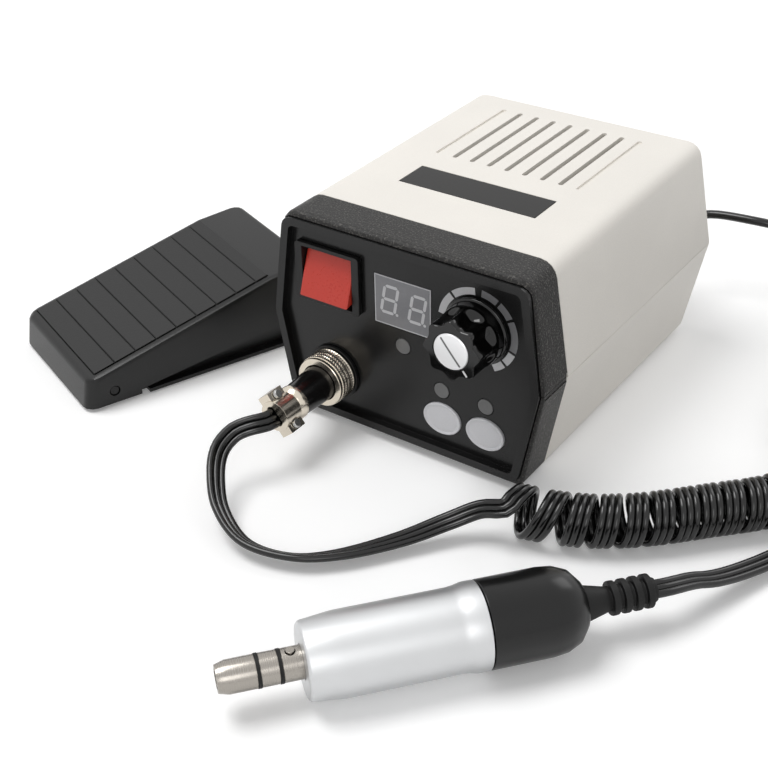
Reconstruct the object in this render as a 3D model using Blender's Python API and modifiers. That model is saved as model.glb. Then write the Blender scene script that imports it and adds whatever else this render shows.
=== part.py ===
"""Bench motor set: a control box, a slim motor on a curly cord and a foot pedal.

Run with: blender --background --python part.py
Units are metres and +Z is up. Lengths, angles and counts are named below.
"""

import math

import bmesh
import bpy
import numpy as np
from mathutils import Matrix, Vector

# Clearances and tessellation
GAP = 0.0003
OVERRUN = 0.004
WELD = 0.00001
ROUND_STEPS = 32
SMALL_STEPS = 20
PIN_STEPS = 12
KEY_STEPS = 16
NOSE_STEPS = 28
BODY_STEPS = 40
BOOT_STEPS = 24
ARC_STEPS = 4
CORNER_STEPS = 2
EDGE_STEPS = 3
NUT_SIDES = 6
SORT_DIGITS = 6
SHADE_ANGLE = math.radians(35)
UNIT_SIDE = 1.0
HALF = 0.5
MILLIMETRES = 1000
FLAT_ANGLE = math.radians(1)
QUARTER_TURN = math.pi / 2
FULL_TURN = 2 * math.pi

# Where the set stands: the middle of its pieces, seen from above
SET_MIDDLE_X = -0.0274
SET_MIDDLE_Y = 0.0085

# Control box: section, parting line and depth
BOX_HALF_TOP = 0.0525
BOX_HALF_MIDDLE = 0.0600
BOX_HALF_BASE = 0.0522
BOX_TOP = 0.0880
BOX_PARTING = 0.0442
BOX_BASE = 0.0020
BOX_TOP_ROUND = 0.0070
BOX_BASE_ROUND = 0.0030
BOX_WALL = 0.0024
SHELL_FRONT = 0.0173
SHELL_REAR = 0.1427
SHELL_REAR_TOP_LEAN = 0.0035
SHELL_REAR_BASE_LEAN = 0.0019
SHELL_REAR_TOP = SHELL_REAR - SHELL_REAR_TOP_LEAN
SHELL_REAR_BASE = SHELL_REAR - SHELL_REAR_BASE_LEAN
SHELL_REAR_ROUND = 0.0030

# Front bezel and its panel
BEZEL_FRONT = 0.0000
BEZEL_REAR = SHELL_FRONT - GAP
BEZEL_ROUND = 0.0022
NOTCH_DEPTH = 0.0006
NOTCH_HEIGHT = 0.0036
PANEL_FRONT = 0.0018
PANEL_THICK = 0.0024
PANEL_TOP_MARGIN = 0.0024
PANEL_BASE_MARGIN = 0.0022
PANEL_SIDE_TOP_MARGIN = 0.0003
PANEL_SIDE_MARGIN = 0.0016
PANEL_SIDE_BASE_MARGIN = 0.0012
PANEL_HALF_TOP = BOX_HALF_TOP - PANEL_SIDE_TOP_MARGIN
PANEL_HALF_MIDDLE = BOX_HALF_MIDDLE - PANEL_SIDE_MARGIN
PANEL_HALF_BASE = BOX_HALF_BASE - PANEL_SIDE_BASE_MARGIN
PANEL_TOP = BOX_TOP - PANEL_TOP_MARGIN
PANEL_BASE = BOX_BASE + PANEL_BASE_MARGIN
PANEL_ROUND = 0.0046
PANEL_LEDGE = 0.0034
PANEL_RIM_FRONT = -0.0012
PANEL_RIM_WIDTH = 0.0032
PANEL_BACK = PANEL_FRONT + PANEL_THICK

# Vents and name plate in the top
VENT_COUNT = 9
VENT_PITCH = 0.00788
VENT_WIDTH = 0.0020
VENT_START = 0.0725
VENT_END = 0.1259
VENT_ROUND = 0.0009
BLIND_DEPTH = 0.0008
PLATE_HALF_WIDTH = 0.0296
PLATE_START = 0.0430
PLATE_END = 0.0591
PLATE_THICK = 0.0006
PLATE_RECESS = 0.0009

# Rocker switch
SWITCH_X = -0.0331
SWITCH_DROP = 0.0238
SWITCH_Z = BOX_TOP - SWITCH_DROP
SWITCH_HALF_WIDTH = 0.0146
SWITCH_HALF_HEIGHT = 0.0121
SWITCH_RIM_DEPTH = 0.0020
SWITCH_ROUND = 0.0012
SWITCH_BODY_HALF_WIDTH = 0.0132
SWITCH_BODY_HALF_HEIGHT = 0.0114
SWITCH_BODY_DEPTH = 0.0180
ROCKER_HALF_WIDTH = 0.0110
ROCKER_HALF_HEIGHT = 0.0088
ROCKER_CROWN = 0.0022
ROCKER_LIFT = 0.0052
ROCKER_ROOT = 0.0050
ROCKER_SWING_ROOM = 0.0018
ROCKER_TOP_SINK = 0.0011
ROCKER_FLANK = 0.0070
ROCKER_SOLE = 0.0026

# Two-digit display
DISPLAY_LEFT = -0.0128
DISPLAY_RIGHT = 0.0117
DISPLAY_DROP = 0.0162
DISPLAY_HEIGHT = 0.0201
DISPLAY_TOP = BOX_TOP - DISPLAY_DROP
DISPLAY_BASE = DISPLAY_TOP - DISPLAY_HEIGHT
WINDOW_THICK = 0.0014
MODULE_DEPTH = 0.0085

# Speed knob, its cap and the control behind it
KNOB_X = 0.0313
KNOB_DROP = 0.0260
KNOB_Z = BOX_TOP - KNOB_DROP
KNOB_SKIRT_RADIUS = 0.0132
KNOB_SKIRT_THICK = 0.0022
KNOB_SHOULDER_RADIUS = 0.0120
KNOB_GRIP_RADIUS = 0.0108
KNOB_LOBE_DEPTH = 0.0009
KNOB_LOBES = 8
KNOB_LOBE_POINTS = 56
KNOB_FRONT = -0.0158
KNOB_STANDOFF = 0.0008
KNOB_BORE_DEPTH = 0.0130
KNOB_UNDER_ROOM = 0.0009
CAP_RADIUS = 0.0070
CAP_THICK = 0.0007
CAP_PROUD = 0.0003
CONTROL_SHAFT_RADIUS = 0.0029
CONTROL_BUSH_RADIUS = 0.0036
CONTROL_BUSH_PROUD = 0.0030
CONTROL_CAN_RADIUS = 0.0085
CONTROL_CAN_DEPTH = 0.0090
SHAFT_TAIL = 0.0050

# Push buttons, lamps and the board behind them
BUTTON_LEFT_X = 0.0170
BUTTON_RIGHT_X = 0.0357
BUTTON_Z = 0.0189
BUTTON_HALF_WIDTH = 0.0081
BUTTON_HALF_HEIGHT = 0.0066
BUTTON_PROUD = 0.0009
BUTTON_THICK = 0.0030
BUTTON_POINTS = 28
STEM_RADIUS = 0.0016
STEM_TRAVEL = 0.0008
LAMP_RADIUS = 0.0032
LAMP_PROUD = 0.0002
LAMP_DEPTH = 0.0050
LAMP_1_X = -0.0005
LAMP_1_DROP = 0.0072
LAMP_2_X = 0.0165
LAMP_2_Z = 0.0311
LAMP_3_X = 0.0354
LAMP_3_Z = 0.0308
BOARD_FRONT = 0.0150
BOARD_THICK = 0.0016
BOARD_LEFT = -0.0060
BOARD_RIGHT = 0.0460
BOARD_BASE = 0.0100
BOARD_TOP_DROP = 0.0110
BOARD_TOP = KNOB_Z - BOARD_TOP_DROP
TACT_SIDE = 0.0060
TACT_DEPTH = 0.0035
POST_RADIUS = 0.0022
POST_MARGIN = 0.0032
POST_MIDDLE_X = 0.0263
POST_MIDDLE_Z = 0.0128

# Round connector on the front
PLUG_X = -0.0325
PLUG_Z = 0.0227
JACK_FLANGE_RADIUS = 0.0114
JACK_FLANGE_THICK = 0.0014
JACK_BARREL_RADIUS = 0.0068
JACK_BARREL_BACK = 0.0150
JACK_BARREL_PROUD = 0.0028
JACK_BORE_RADIUS = 0.0054
JACK_CORE_RADIUS = 0.0046
NUT_RADIUS = 0.0100
NUT_THICK = 0.0026
RING_FRONT = -0.0087
RING_RADIUS = 0.0105
RING_LIP_RADIUS = 0.0101
RING_LIP = 0.0016
RING_BORE_RADIUS = 0.0077
SLEEVE_RADIUS = 0.0073
SLEEVE_TIP_RADIUS = 0.0065
SLEEVE_FRONT = -0.0238
SLEEVE_BACK = -0.0050
COLLAR_RADIUS = 0.0069
COLLAR_NECK_RADIUS = 0.0058
COLLAR_FRONT = -0.0276
SADDLE_FRONT = -0.0362
SADDLE_RADIUS = 0.0062
SADDLE_BORE_HALF_WIDTH = 0.0042
SADDLE_BORE_HALF_HEIGHT = 0.0019
SADDLE_BORE_DEPTH = 0.0036
SADDLE_BORE_ROUND = 0.0015
CLAMP_TILT = math.radians(-50)
EAR_REACH = 0.0086
EAR_HALF_THICK = 0.0030
SEAT_REACH = 0.0090
HOLE_REACH = 0.0060
SCREW_RADIUS = 0.0011
SCREW_HEAD_RADIUS = 0.0019
SCREW_CROWN_RADIUS = 0.0015
SCREW_HEAD = 0.0011

# Inside, rear panel and feet
MODULE_HALF_WIDTH = 0.0260
MODULE_START = 0.0600
MODULE_END = 0.1080
MODULE_HEIGHT = 0.0420
MODULE_TAB = 0.0047
LAMINATION_SHARE = 0.36
REAR_FITTING_DROP = 0.0097
REAR_FITTING_Z = BOX_PARTING - REAR_FITTING_DROP
GLAND_X = 0.0330
FUSE_X = 0.0020
SOCKET_X = -0.0300
GLAND_RADIUS = 0.0058
GLAND_LENGTH = 0.0210
GLAND_TIP_RADIUS = 0.0036
GLAND_FLANGE_RADIUS = 0.0078
GLAND_FLANGE = 0.0016
GLAND_TAIL = 0.0060
FITTING_HOLE_RADIUS = 0.0063
FITTING_STANDOFF = 0.0012
FUSE_RADIUS = 0.0060
FUSE_FLANGE_RADIUS = 0.0080
FUSE_BODY = 0.0240
FUSE_BORE_RADIUS = 0.0042
FUSE_CAP_RADIUS = 0.0062
FUSE_CAP = 0.0060
FUSE_CAP_EDGE = 0.0012
FUSE_CAP_TIP_RADIUS = 0.0056
FUSE_SLOT = 0.0012
FUSE_SLOT_HALF_LENGTH = 0.0050
SOCKET_RADIUS = 0.0062
SOCKET_FLANGE_RADIUS = 0.0095
SOCKET_FLANGE = 0.0018
SOCKET_BODY = 0.0130
SOCKET_BORE_RADIUS = 0.0046
SOCKET_BORE_DEPTH = 0.0090
FOOT_RADIUS = 0.0065
FOOT_TIP_RADIUS = 0.0055
FOOT_X = 0.0400
FOOT_FRONT_Y = 0.0300
FOOT_REAR_Y = 0.1280

# Foot pedal: its frame on the floor, wedge, tread and base
PEDAL_X = -0.1495
PEDAL_Y = -0.0389
PEDAL_TURN = math.radians(-22)
PEDAL_HALF_WIDTH = 0.0344
PEDAL_LENGTH = 0.1080
PEDAL_TOP_RUN = 0.0210
PEDAL_KINK = PEDAL_LENGTH - PEDAL_TOP_RUN
PEDAL_FRONT_HEIGHT = 0.0145
PEDAL_KINK_HEIGHT = 0.0352
PEDAL_REAR_HEIGHT = 0.0370
PEDAL_ROUND = 0.0022
PEDAL_CORNER_ROUND = 0.0048
PEDAL_RIDGE = 0.0022
TREAD_WALL = 0.0026
TREAD_FRONT_HEM = 0.0016
TREAD_REAR_HEM = 0.0142
TREAD_HEM_START = 0.0240
TREAD_HEM_LIFT = 0.0038
TREAD_SLOPE_WALL = 0.0029
PIVOT_Y = 0.0126
PIVOT_Z = 0.0072
PIVOT_RADIUS = 0.0028
PIVOT_SHAFT_RADIUS = 0.0020
PIVOT_HEAD = 0.0012
BASE_FLOOR = 0.0010
BASE_PLATE = 0.0026
BASE_SETBACK = 0.0034
BASE_ROOM = 0.0012
BASE_RIM_FRONT = 0.0092
BASE_RIM_PIVOT = 0.0110
BASE_RIM_REAR = 0.0178
BASE_WALL = 0.0022
PAD_START = 0.0062
PAD_HALF_WIDTH = 0.0310
PAD_THICK = 0.0012
PAD_PITCH = 0.0094
PAD_GROOVE = 0.0007
PAD_SUNK = 0.0009
SPRING_TO_KINK = 0.0150
SPRING_Y = PEDAL_KINK - SPRING_TO_KINK
SPRING_RADIUS = 0.0050
SPRING_WIRE = 0.0006
SPRING_TURNS = 6
SPRING_TURN_POINTS = 10
SPRING_SEAT = 0.0010
SENSOR_TO_SPRING = 0.0220
SENSOR_Y = SPRING_Y - SENSOR_TO_SPRING
SENSOR_HALF_WIDTH = 0.0110
SENSOR_HALF_LENGTH = 0.0080
SENSOR_BOARD = 0.0016
SENSOR_CHIP = 0.0020
SENSOR_CHIP_HEIGHT = 0.0045
PEDAL_FOOT_RADIUS = 0.0050
PEDAL_FOOT_X = 0.0267
PEDAL_GLAND_RADIUS = 0.0034
PEDAL_GLAND_LENGTH = 0.0100
PEDAL_GLAND_BORE = 0.0020
PEDAL_GLAND_TIP_RADIUS = 0.0027
PEDAL_GLAND_ROOT = 0.0040
PEDAL_GLAND_Z = 0.0076
PEDAL_GLAND_SLOT = 0.0203

# Motor handpiece: distances run from the nose tip towards the cord
HAND_X = 0.0310
HAND_Y = -0.1446
HAND_TURN = math.radians(50)
NOSE_TIP_RADIUS = 0.0044
NOSE_RADIUS = 0.0053
NOSE_TAPER = 0.0032
NOSE_BORE_RADIUS = 0.0033
NOSE_ROOT = 0.0262
NOSE_FLANGE_RADIUS = 0.0080
NOSE_FLANGE_END = 0.0310
NOSE_END = 0.0340
GROOVE_HALF = 0.0007
GROOVE_DEPTH = 0.0006
SEAL_FRONT = 0.0126
SEAL_REAR = 0.0194
SEAL_PROUD = 0.00015
KEY_CENTRE = 0.0229
KEY_RADIUS = 0.0014
KEY_PROUD = 0.0006
KEY_TRAVEL = 0.0006
BODY_FRONT = 0.0262
BODY_FRONT_RADIUS = 0.0124
BODY_FLARE = 0.0375
BODY_RADIUS = 0.0135
BODY_STEP_START = 0.0740
BODY_STEP_RADIUS = 0.0137
BODY_STEP_RUN = 0.0024
BODY_STEP_END = 0.0790
BODY_END = 0.0830
TAIL_RADIUS = 0.0143
BODY_EDGE = 0.0008
BODY_BORE_RADIUS = 0.0118
BODY_LIP = 0.0018
TAIL_START = BODY_END + GAP
TAIL_STRAIGHT = 0.1040
TAIL_SHOULDER = 0.1085
TAIL_SHOULDER_RADIUS = 0.0138
TAIL_DOME = 0.1130
TAIL_DOME_RADIUS = 0.0119
TAIL_END = 0.1165
TAIL_END_RADIUS = 0.0078
TAIL_BORE_END = 0.1060
BOOT_ROOT = 0.1100
BOOT_ROOT_RADIUS = 0.0062
BOOT_NECK = 0.1245
BOOT_NECK_RADIUS = 0.0042
BOOT_RIB_COUNT = 4
BOOT_RIB_RADIUS = 0.0056
BOOT_RIB_PITCH = 0.0039
BOOT_RIB_WIDTH = 0.0022
BOOT_GROOVE_RADIUS = 0.0040
BOOT_TIP = 0.0012
ROTOR_DOG_START = 0.0140
ROTOR_DOG_END = 0.0180
ROTOR_DOG_RADIUS = 0.0027
ROTOR_SHAFT_RADIUS = 0.0015
ROTOR_START = 0.0400
ROTOR_END = 0.0680
ROTOR_RADIUS = 0.0060
ROTOR_TAIL_END = 0.0780
STATOR_START = 0.0380
STATOR_END = 0.0700
STATOR_BORE_RADIUS = 0.0068
DOG_SLOT_REACH = 0.0054

# Motor cord: a flat run of three strands, partly wound into a curly coil
RIBBON_HALF_WIDTH = 0.0038
RIBBON_HALF_THICK = 0.0013
RIBBON_FLAT_HALF_WIDTH = 0.0030
COIL_RADIUS = 0.0084
COIL_AXIS_Z = 0.0100
COIL_PITCH = 0.0083
COIL_SPACING = 0.0082
COIL_INNER_REACH = 0.0100
COIL_FADE = 0.0140
COIL_LOOSE_SHARE = 0.5
COIL_LEAN = 0.0045
COIL_LEAN_FADE = 0.0200
COIL_TURN_POINTS = 8
COIL_NEAR_RINGS = 5
COIL_BEND_POINTS = 20
COIL_START_PHASE = math.radians(65)
COIL_END_PHASE = math.radians(270)
PATH_STEP = 0.0005
LEAD_STEP = 0.0050

# Mains lead, its put-away coil and plug
MAINS_RADIUS = 0.0019
MAINS_STEP = 0.0080
RING_MIDDLE_X = 0.1400
RING_MIDDLE_Y = 0.1930
RING_TURN_RADIUS = 0.0220
RING_SPACING = 0.0046
RING_COLUMNS = 3
RING_LAYERS = 4
RING_TURN_POINTS = 24
RING_EASE_POINTS = 4
RING_EXIT_POINTS = 12
RING_NEAR_POINTS = 6
RING_EXIT_RADIUS = 0.0360
MAINS_PLUG_Z = 0.0080
MAINS_TAIL = 0.0140
MAINS_PLUG_LENGTH = 0.0340
MAINS_PLUG_HALF_WIDTH = 0.0128
MAINS_PLUG_HALF_HEIGHT = 0.0070
MAINS_PLUG_ROUND = 0.0030
MAINS_NECK_RADIUS = 0.0040
MAINS_NECK_LENGTH = 0.0080
MAINS_NECK_TIP_RADIUS = 0.0025
PIN_HALF_SPACING = 0.0093
PIN_RADIUS = 0.0020
PIN_LENGTH = 0.0190
PIN_ROOT = 0.0030

# Which way the flat lead's broad side faces at the middle of its way to the coil
LEAD_BANK = (0, 0.63, 0.78)

# Hand-chosen route points, from the plug to the coil and from the coil to the boot
LEAD_ROUTE = (
    (-0.0325, -0.0329, 0.0227),
    (-0.0325, -0.0388, 0.0227),
    (-0.0341, -0.0424, 0.0228),
    (-0.0376, -0.0464, 0.0222),
    (-0.0409, -0.0510, 0.0204),
    (-0.0405, -0.0589, 0.0178),
    (-0.0352, -0.0676, 0.0142),
    (-0.0258, -0.0764, 0.0086),
    (-0.0102, -0.0825, 0.0050),
    (0.0072, -0.0793, 0.0043),
    (0.0207, -0.0688, 0.0043),
    (0.0339, -0.0518, 0.0052),
    (0.0445, -0.0372, 0.0082),
    (0.0530, -0.0300, 0.0124),
)
COIL_ROUTE = (
    (0.0625, -0.0205, COIL_AXIS_Z),
    (0.0760, -0.0167, COIL_AXIS_Z),
    (0.0895, -0.0100, COIL_AXIS_Z),
    (0.1025, 0.0000, COIL_AXIS_Z),
    (0.1170, 0.0148, COIL_AXIS_Z),
    (0.1335, 0.0325, COIL_AXIS_Z),
    (0.1425, 0.0480, COIL_AXIS_Z),
    (0.1440, 0.0655, COIL_AXIS_Z),
    (0.1380, 0.0810, COIL_AXIS_Z),
    (0.1265, 0.0915, COIL_AXIS_Z),
    (0.1190, 0.1040, COIL_AXIS_Z),
    (0.1230, 0.1200, COIL_AXIS_Z),
    (0.1370, 0.1310, COIL_AXIS_Z),
    (0.1545, 0.1320, COIL_AXIS_Z),
    (0.1700, 0.1240, COIL_AXIS_Z),
    (0.1800, 0.1080, COIL_AXIS_Z),
    (0.1840, 0.0890, COIL_AXIS_Z),
    (0.1840, 0.0690, COIL_AXIS_Z),
    (0.1800, 0.0480, COIL_AXIS_Z),
)
HAND_ROUTE = (
    (0.1655, 0.0445, 0.0022),
    (0.1577, 0.0365, 0.0030),
    (0.1518, 0.0260, 0.0040),
    (0.1466, 0.0150, 0.0046),
    (0.1420, 0.0045, 0.0052),
    (0.1373, -0.0065, 0.0068),
    (0.1333, -0.0155, 0.0091),
    (0.1293, -0.0228, 0.0117),
)
MAINS_ROUTE = (
    (0.0330, 0.1648, 0.0345),
    (0.0330, 0.1690, 0.0346),
    (0.0352, 0.1750, 0.0352),
    (0.0400, 0.1792, 0.0361),
    (0.0465, 0.1808, 0.0370),
    (0.0540, 0.1809, 0.0377),
    (0.0620, 0.1812, 0.0380),
    (0.0696, 0.1823, 0.0380),
    (0.0790, 0.1870, 0.0350),
    (0.0880, 0.1860, 0.0270),
    (0.0965, 0.1800, 0.0160),
    (0.1045, 0.1735, 0.0070),
    (0.1115, 0.1692, 0.0030),
)

COLOURS = {
    "shell_white": ((0.80, 0.78, 0.72, 1), 0.45, 0.0),
    "bezel_black": ((0.025, 0.025, 0.022, 1), 0.60, 0.0),
    "panel_black": ((0.022, 0.022, 0.022, 1), 0.35, 0.0),
    "plate_dark": ((0.020, 0.019, 0.018, 1), 0.30, 0.0),
    "window_grey": ((0.22, 0.22, 0.23, 1), 0.20, 0.0),
    "module_grey": ((0.16, 0.16, 0.16, 1), 0.50, 0.0),
    "switch_black": ((0.018, 0.018, 0.018, 1), 0.45, 0.0),
    "rocker_red": ((0.52, 0.045, 0.028, 1), 0.30, 0.0),
    "knob_black": ((0.012, 0.012, 0.012, 1), 0.12, 0.0),
    "cap_silver": ((0.80, 0.80, 0.80, 1), 0.25, 1.0),
    "steel": ((0.55, 0.55, 0.54, 1), 0.35, 1.0),
    "button_grey": ((0.62, 0.62, 0.64, 1), 0.50, 0.0),
    "lamp_grey": ((0.10, 0.10, 0.10, 1), 0.30, 0.0),
    "board_green": ((0.02, 0.16, 0.06, 1), 0.50, 0.0),
    "nickel": ((0.72, 0.69, 0.62, 1), 0.18, 1.0),
    "plug_black": ((0.012, 0.012, 0.013, 1), 0.12, 0.0),
    "transformer": ((0.30, 0.22, 0.12, 1), 0.55, 0.3),
    "rubber_black": ((0.015, 0.015, 0.015, 1), 0.75, 0.0),
    "pedal_black": ((0.014, 0.014, 0.014, 1), 0.35, 0.0),
    "spring_steel": ((0.60, 0.60, 0.60, 1), 0.30, 1.0),
    "satin_aluminium": ((0.72, 0.72, 0.73, 1), 0.32, 1.0),
    "tail_black": ((0.012, 0.012, 0.012, 1), 0.22, 0.0),
    "nose_steel": ((0.50, 0.46, 0.42, 1), 0.28, 1.0),
    "winding_copper": ((0.60, 0.25, 0.12, 1), 0.40, 1.0),
    "cord_black": ((0.010, 0.010, 0.011, 1), 0.18, 0.0),
}

PLANE_XZ = Matrix(((1, 0, 0, 0), (0, 0, -1, 0), (0, 1, 0, 0), (0, 0, 0, 1)))
PLANE_YZ = Matrix(((0, 0, 1, 0), (1, 0, 0, 0), (0, 1, 0, 0), (0, 0, 0, 1)))
PLANE_XY = Matrix.Identity(4)
FACE_FRONT = (QUARTER_TURN, 0, 0)
FACE_REAR = (-QUARTER_TURN, 0, 0)


# Scene helpers


def clear_scene():
    for obj in list(bpy.data.objects):
        bpy.data.objects.remove(obj, do_unlink=True)
    for name in ("bench_motor_set", "cutters"):
        group = bpy.data.collections.new(name)
        bpy.context.scene.collection.children.link(group)
    bpy.data.collections["cutters"].hide_render = True


def material_for(name):
    found = bpy.data.materials.get(name)
    if found:
        return found
    colour, roughness, metallic = COLOURS[name]
    made = bpy.data.materials.new(name)
    made.use_nodes = True
    shader = made.node_tree.nodes["Principled BSDF"]
    shader.inputs["Base Color"].default_value = colour
    shader.inputs["Roughness"].default_value = roughness
    shader.inputs["Metallic"].default_value = metallic
    made.diffuse_color = colour
    return made


def place(name, data, parent, location=(0, 0, 0), rotation=(0, 0, 0), slot=None):
    """Links an object with this data to the parts, or to the cutters when it has no material."""
    obj = bpy.data.objects.new(name, data)
    group = "bench_motor_set" if slot or data is None else "cutters"
    bpy.data.collections[group].objects.link(obj)
    obj.parent = parent
    obj.location = location
    obj.rotation_euler = rotation
    if slot:
        data.materials.clear()
        data.materials.append(material_for(slot))
    elif data is not None:
        obj.hide_render = True
        obj.display_type = "WIRE"
    return obj


def smooth(obj):
    mesh = obj.data
    mesh.shade_smooth()
    mesh.set_sharp_from_angle(angle=SHADE_ANGLE)
    return obj


def boolean(obj, other, operation="DIFFERENCE"):
    modifier = obj.modifiers.new(operation.lower(), "BOOLEAN")
    modifier.operation = operation
    modifier.solver = "EXACT"
    modifier.object = other
    return obj


def from_bmesh(name, bm):
    mesh = bpy.data.meshes.new(name)
    bm.normal_update()
    bm.to_mesh(mesh)
    bm.free()
    return mesh


def joined_mesh(name, meshes):
    """One mesh of several that stay apart, for a cutter with many bodies."""
    bm = bmesh.new()
    for mesh in meshes:
        bm.from_mesh(mesh)
    return from_bmesh(name, bm)


# Outline helpers


def rounded(corners, radii, steps=ARC_STEPS):
    """The closed outline with each corner replaced by an arc of its radius."""
    points = []
    count = len(corners)
    for i, corner in enumerate(corners):
        here = Vector(corner)
        before = (Vector(corners[i - 1]) - here).normalized()
        after = (Vector(corners[(i + 1) % count]) - here).normalized()
        radius = radii[i]
        if radius == 0:
            points.append(tuple(here))
            continue
        half = before.angle(after) * HALF
        middle = here + (before + after).normalized() * (radius / math.sin(half))
        start = here + before * (radius / math.tan(half)) - middle
        end = here + after * (radius / math.tan(half)) - middle
        sweep = start.angle(end)
        for k in range(steps + 1):
            share = k / steps
            arm = (
                start * math.sin((1 - share) * sweep) + end * math.sin(share * sweep)
            ) / math.sin(sweep)
            points.append(tuple(middle + arm))
    return points


def inset(corners, distance):
    """The convex outline, anticlockwise, moved inwards by the distance."""
    moved = []
    count = len(corners)
    for i, corner in enumerate(corners):
        here = Vector(corner)
        into = (here - Vector(corners[i - 1])).normalized()
        out = (Vector(corners[(i + 1) % count]) - here).normalized()
        first = Vector((-into.y, into.x))
        second = Vector((-out.y, out.x))
        shift = (first + second) / (1 + first.dot(second))
        moved.append(tuple(here + shift * distance))
    return moved


def oval(centre_x, centre_y, half_width, half_height, count):
    turn = FULL_TURN / count
    return [
        (
            centre_x + half_width * math.cos(i * turn),
            centre_y + half_height * math.sin(i * turn),
        )
        for i in range(count)
    ]


def rectangle(left, right, low, high):
    return [(left, low), (right, low), (right, high), (left, high)]


def slab(name, loops, low, high, plane=PLANE_XY):
    """A mesh of flat outlines drawn as a filled curve, raised from low to high along the plane's normal."""
    curve = bpy.data.curves.new(name, "CURVE")
    curve.dimensions = "2D"
    curve.fill_mode = "BOTH"
    curve.extrude = (high - low) * HALF
    for loop in loops:
        spline = curve.splines.new("POLY")
        spline.points.add(len(loop) - 1)
        for point, place_at in zip(spline.points, loop):
            point.co = (place_at[0], place_at[1], 0, 1)
        spline.use_cyclic_u = True
    helper = bpy.data.objects.new(name, curve)
    bpy.context.scene.collection.objects.link(helper)
    bpy.context.view_layer.update()
    graph = bpy.context.evaluated_depsgraph_get()
    mesh = bpy.data.meshes.new_from_object(helper.evaluated_get(graph))
    bpy.data.objects.remove(helper, do_unlink=True)
    bm = bmesh.new()
    bm.from_mesh(mesh)
    bmesh.ops.remove_doubles(bm, verts=bm.verts, dist=WELD)
    bmesh.ops.dissolve_limit(
        bm, angle_limit=FLAT_ANGLE, verts=bm.verts, edges=bm.edges
    )
    bmesh.ops.translate(bm, vec=(0, 0, (high + low) * HALF), verts=bm.verts)
    bmesh.ops.transform(bm, matrix=plane, verts=bm.verts)
    bmesh.ops.recalc_face_normals(bm, faces=bm.faces)
    for face in bm.faces:
        face.smooth = False
    bpy.data.meshes.remove(mesh)
    return from_bmesh(name, bm)


def block(name, low, high, bevel=0.0, steps=2):
    """A box mesh between two corners, its edges rounded by the bevel."""
    bm = bmesh.new()
    bmesh.ops.create_cube(bm, size=UNIT_SIDE)
    size = [b - a for a, b in zip(low, high)]
    middle = [(a + b) * HALF for a, b in zip(low, high)]
    bmesh.ops.scale(bm, vec=size, verts=bm.verts)
    bmesh.ops.translate(bm, vec=middle, verts=bm.verts)
    if bevel:
        bmesh.ops.bevel(
            bm,
            geom=bm.edges[:],
            offset=bevel,
            segments=steps,
            profile=HALF,
            affect="EDGES",
            clamp_overlap=True,
        )
    return from_bmesh(name, bm)


def disc(name, radius, low, high, steps=SMALL_STEPS, tip=None):
    """A cylinder or cone mesh about Z between two heights; tip is its radius at the upper one."""
    bm = bmesh.new()
    bmesh.ops.create_cone(
        bm,
        cap_ends=True,
        segments=steps,
        radius1=radius,
        radius2=radius if tip is None else tip,
        depth=high - low,
    )
    bmesh.ops.translate(bm, vec=(0, 0, (high + low) * HALF), verts=bm.verts)
    return from_bmesh(name, bm)


def turned(name, profile, parent, location, rotation, slot, steps=ROUND_STEPS, closed=False):
    """A profile of (radius, height) pairs, outer side from the top down, turned about Z."""
    bm = bmesh.new()
    verts = [bm.verts.new((radius, 0, height)) for radius, height in profile]
    for first, second in zip(verts, verts[1:]):
        bm.edges.new((first, second))
    if closed:
        bm.edges.new((verts[-1], verts[0]))
    obj = place(name, from_bmesh(name, bm), parent, location, rotation, slot)
    screw = obj.modifiers.new("turn", "SCREW")
    screw.axis = "Z"
    screw.steps = steps
    screw.render_steps = steps
    screw.use_merge_vertices = True
    screw.merge_threshold = WELD
    screw.use_smooth_shade = True
    return obj


# Path helpers


def smooth_path(points, step):
    """Points a step apart on a smooth curve through the given ones."""
    knots = [Vector(p) for p in points]
    dense = []
    for i in range(len(knots) - 1):
        before = knots[max(i - 1, 0)]
        after = knots[min(i + 2, len(knots) - 1)]
        start, end = knots[i], knots[i + 1]
        pull_start = (end - before) * HALF
        pull_end = (after - start) * HALF
        count = max(2, int((end - start).length / PATH_STEP))
        for k in range(count):
            t = k / count
            dense.append(
                start * (2 * t**3 - 3 * t**2 + 1)
                + pull_start * (t**3 - 2 * t**2 + t)
                + end * (3 * t**2 - 2 * t**3)
                + pull_end * (t**3 - t**2)
            )
    dense.append(knots[-1])
    table = np.array(dense)
    lengths = np.concatenate(
        [[0], np.cumsum(np.linalg.norm(np.diff(table, axis=0), axis=1))]
    )
    count = max(2, round(lengths[-1] / step))
    wanted = np.linspace(0, lengths[-1], count + 1)
    return np.column_stack([np.interp(wanted, lengths, table[:, k]) for k in range(3)])


def eased(share):
    """A share from none to all that starts and ends gently."""
    share = np.clip(share, 0, 1)
    return share * share * (3 - 2 * share)


def unit(vectors):
    return vectors / np.linalg.norm(vectors, axis=-1, keepdims=True)


def least_gap(rings, ring_skip):
    """The least distance between points of rings at least ring_skip apart along the sweep."""
    least = np.inf
    for i in range(len(rings) - ring_skip):
        others = rings[i + ring_skip :].reshape(-1, 3)
        apart = np.linalg.norm(rings[i][:, None] - others[None], axis=2)
        least = min(least, apart.min())
    return least


def tube(name, points, radius, parent, slot, resolution=2):
    """A round cord through the points, with filled ends."""
    curve = bpy.data.curves.new(name, "CURVE")
    curve.dimensions = "3D"
    curve.bevel_depth = radius
    curve.bevel_resolution = resolution
    curve.use_fill_caps = True
    spline = curve.splines.new("POLY")
    spline.points.add(len(points) - 1)
    for point, at in zip(spline.points, points):
        point.co = (at[0], at[1], at[2], 1)
    return place(name, curve, parent, slot=slot)


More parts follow.
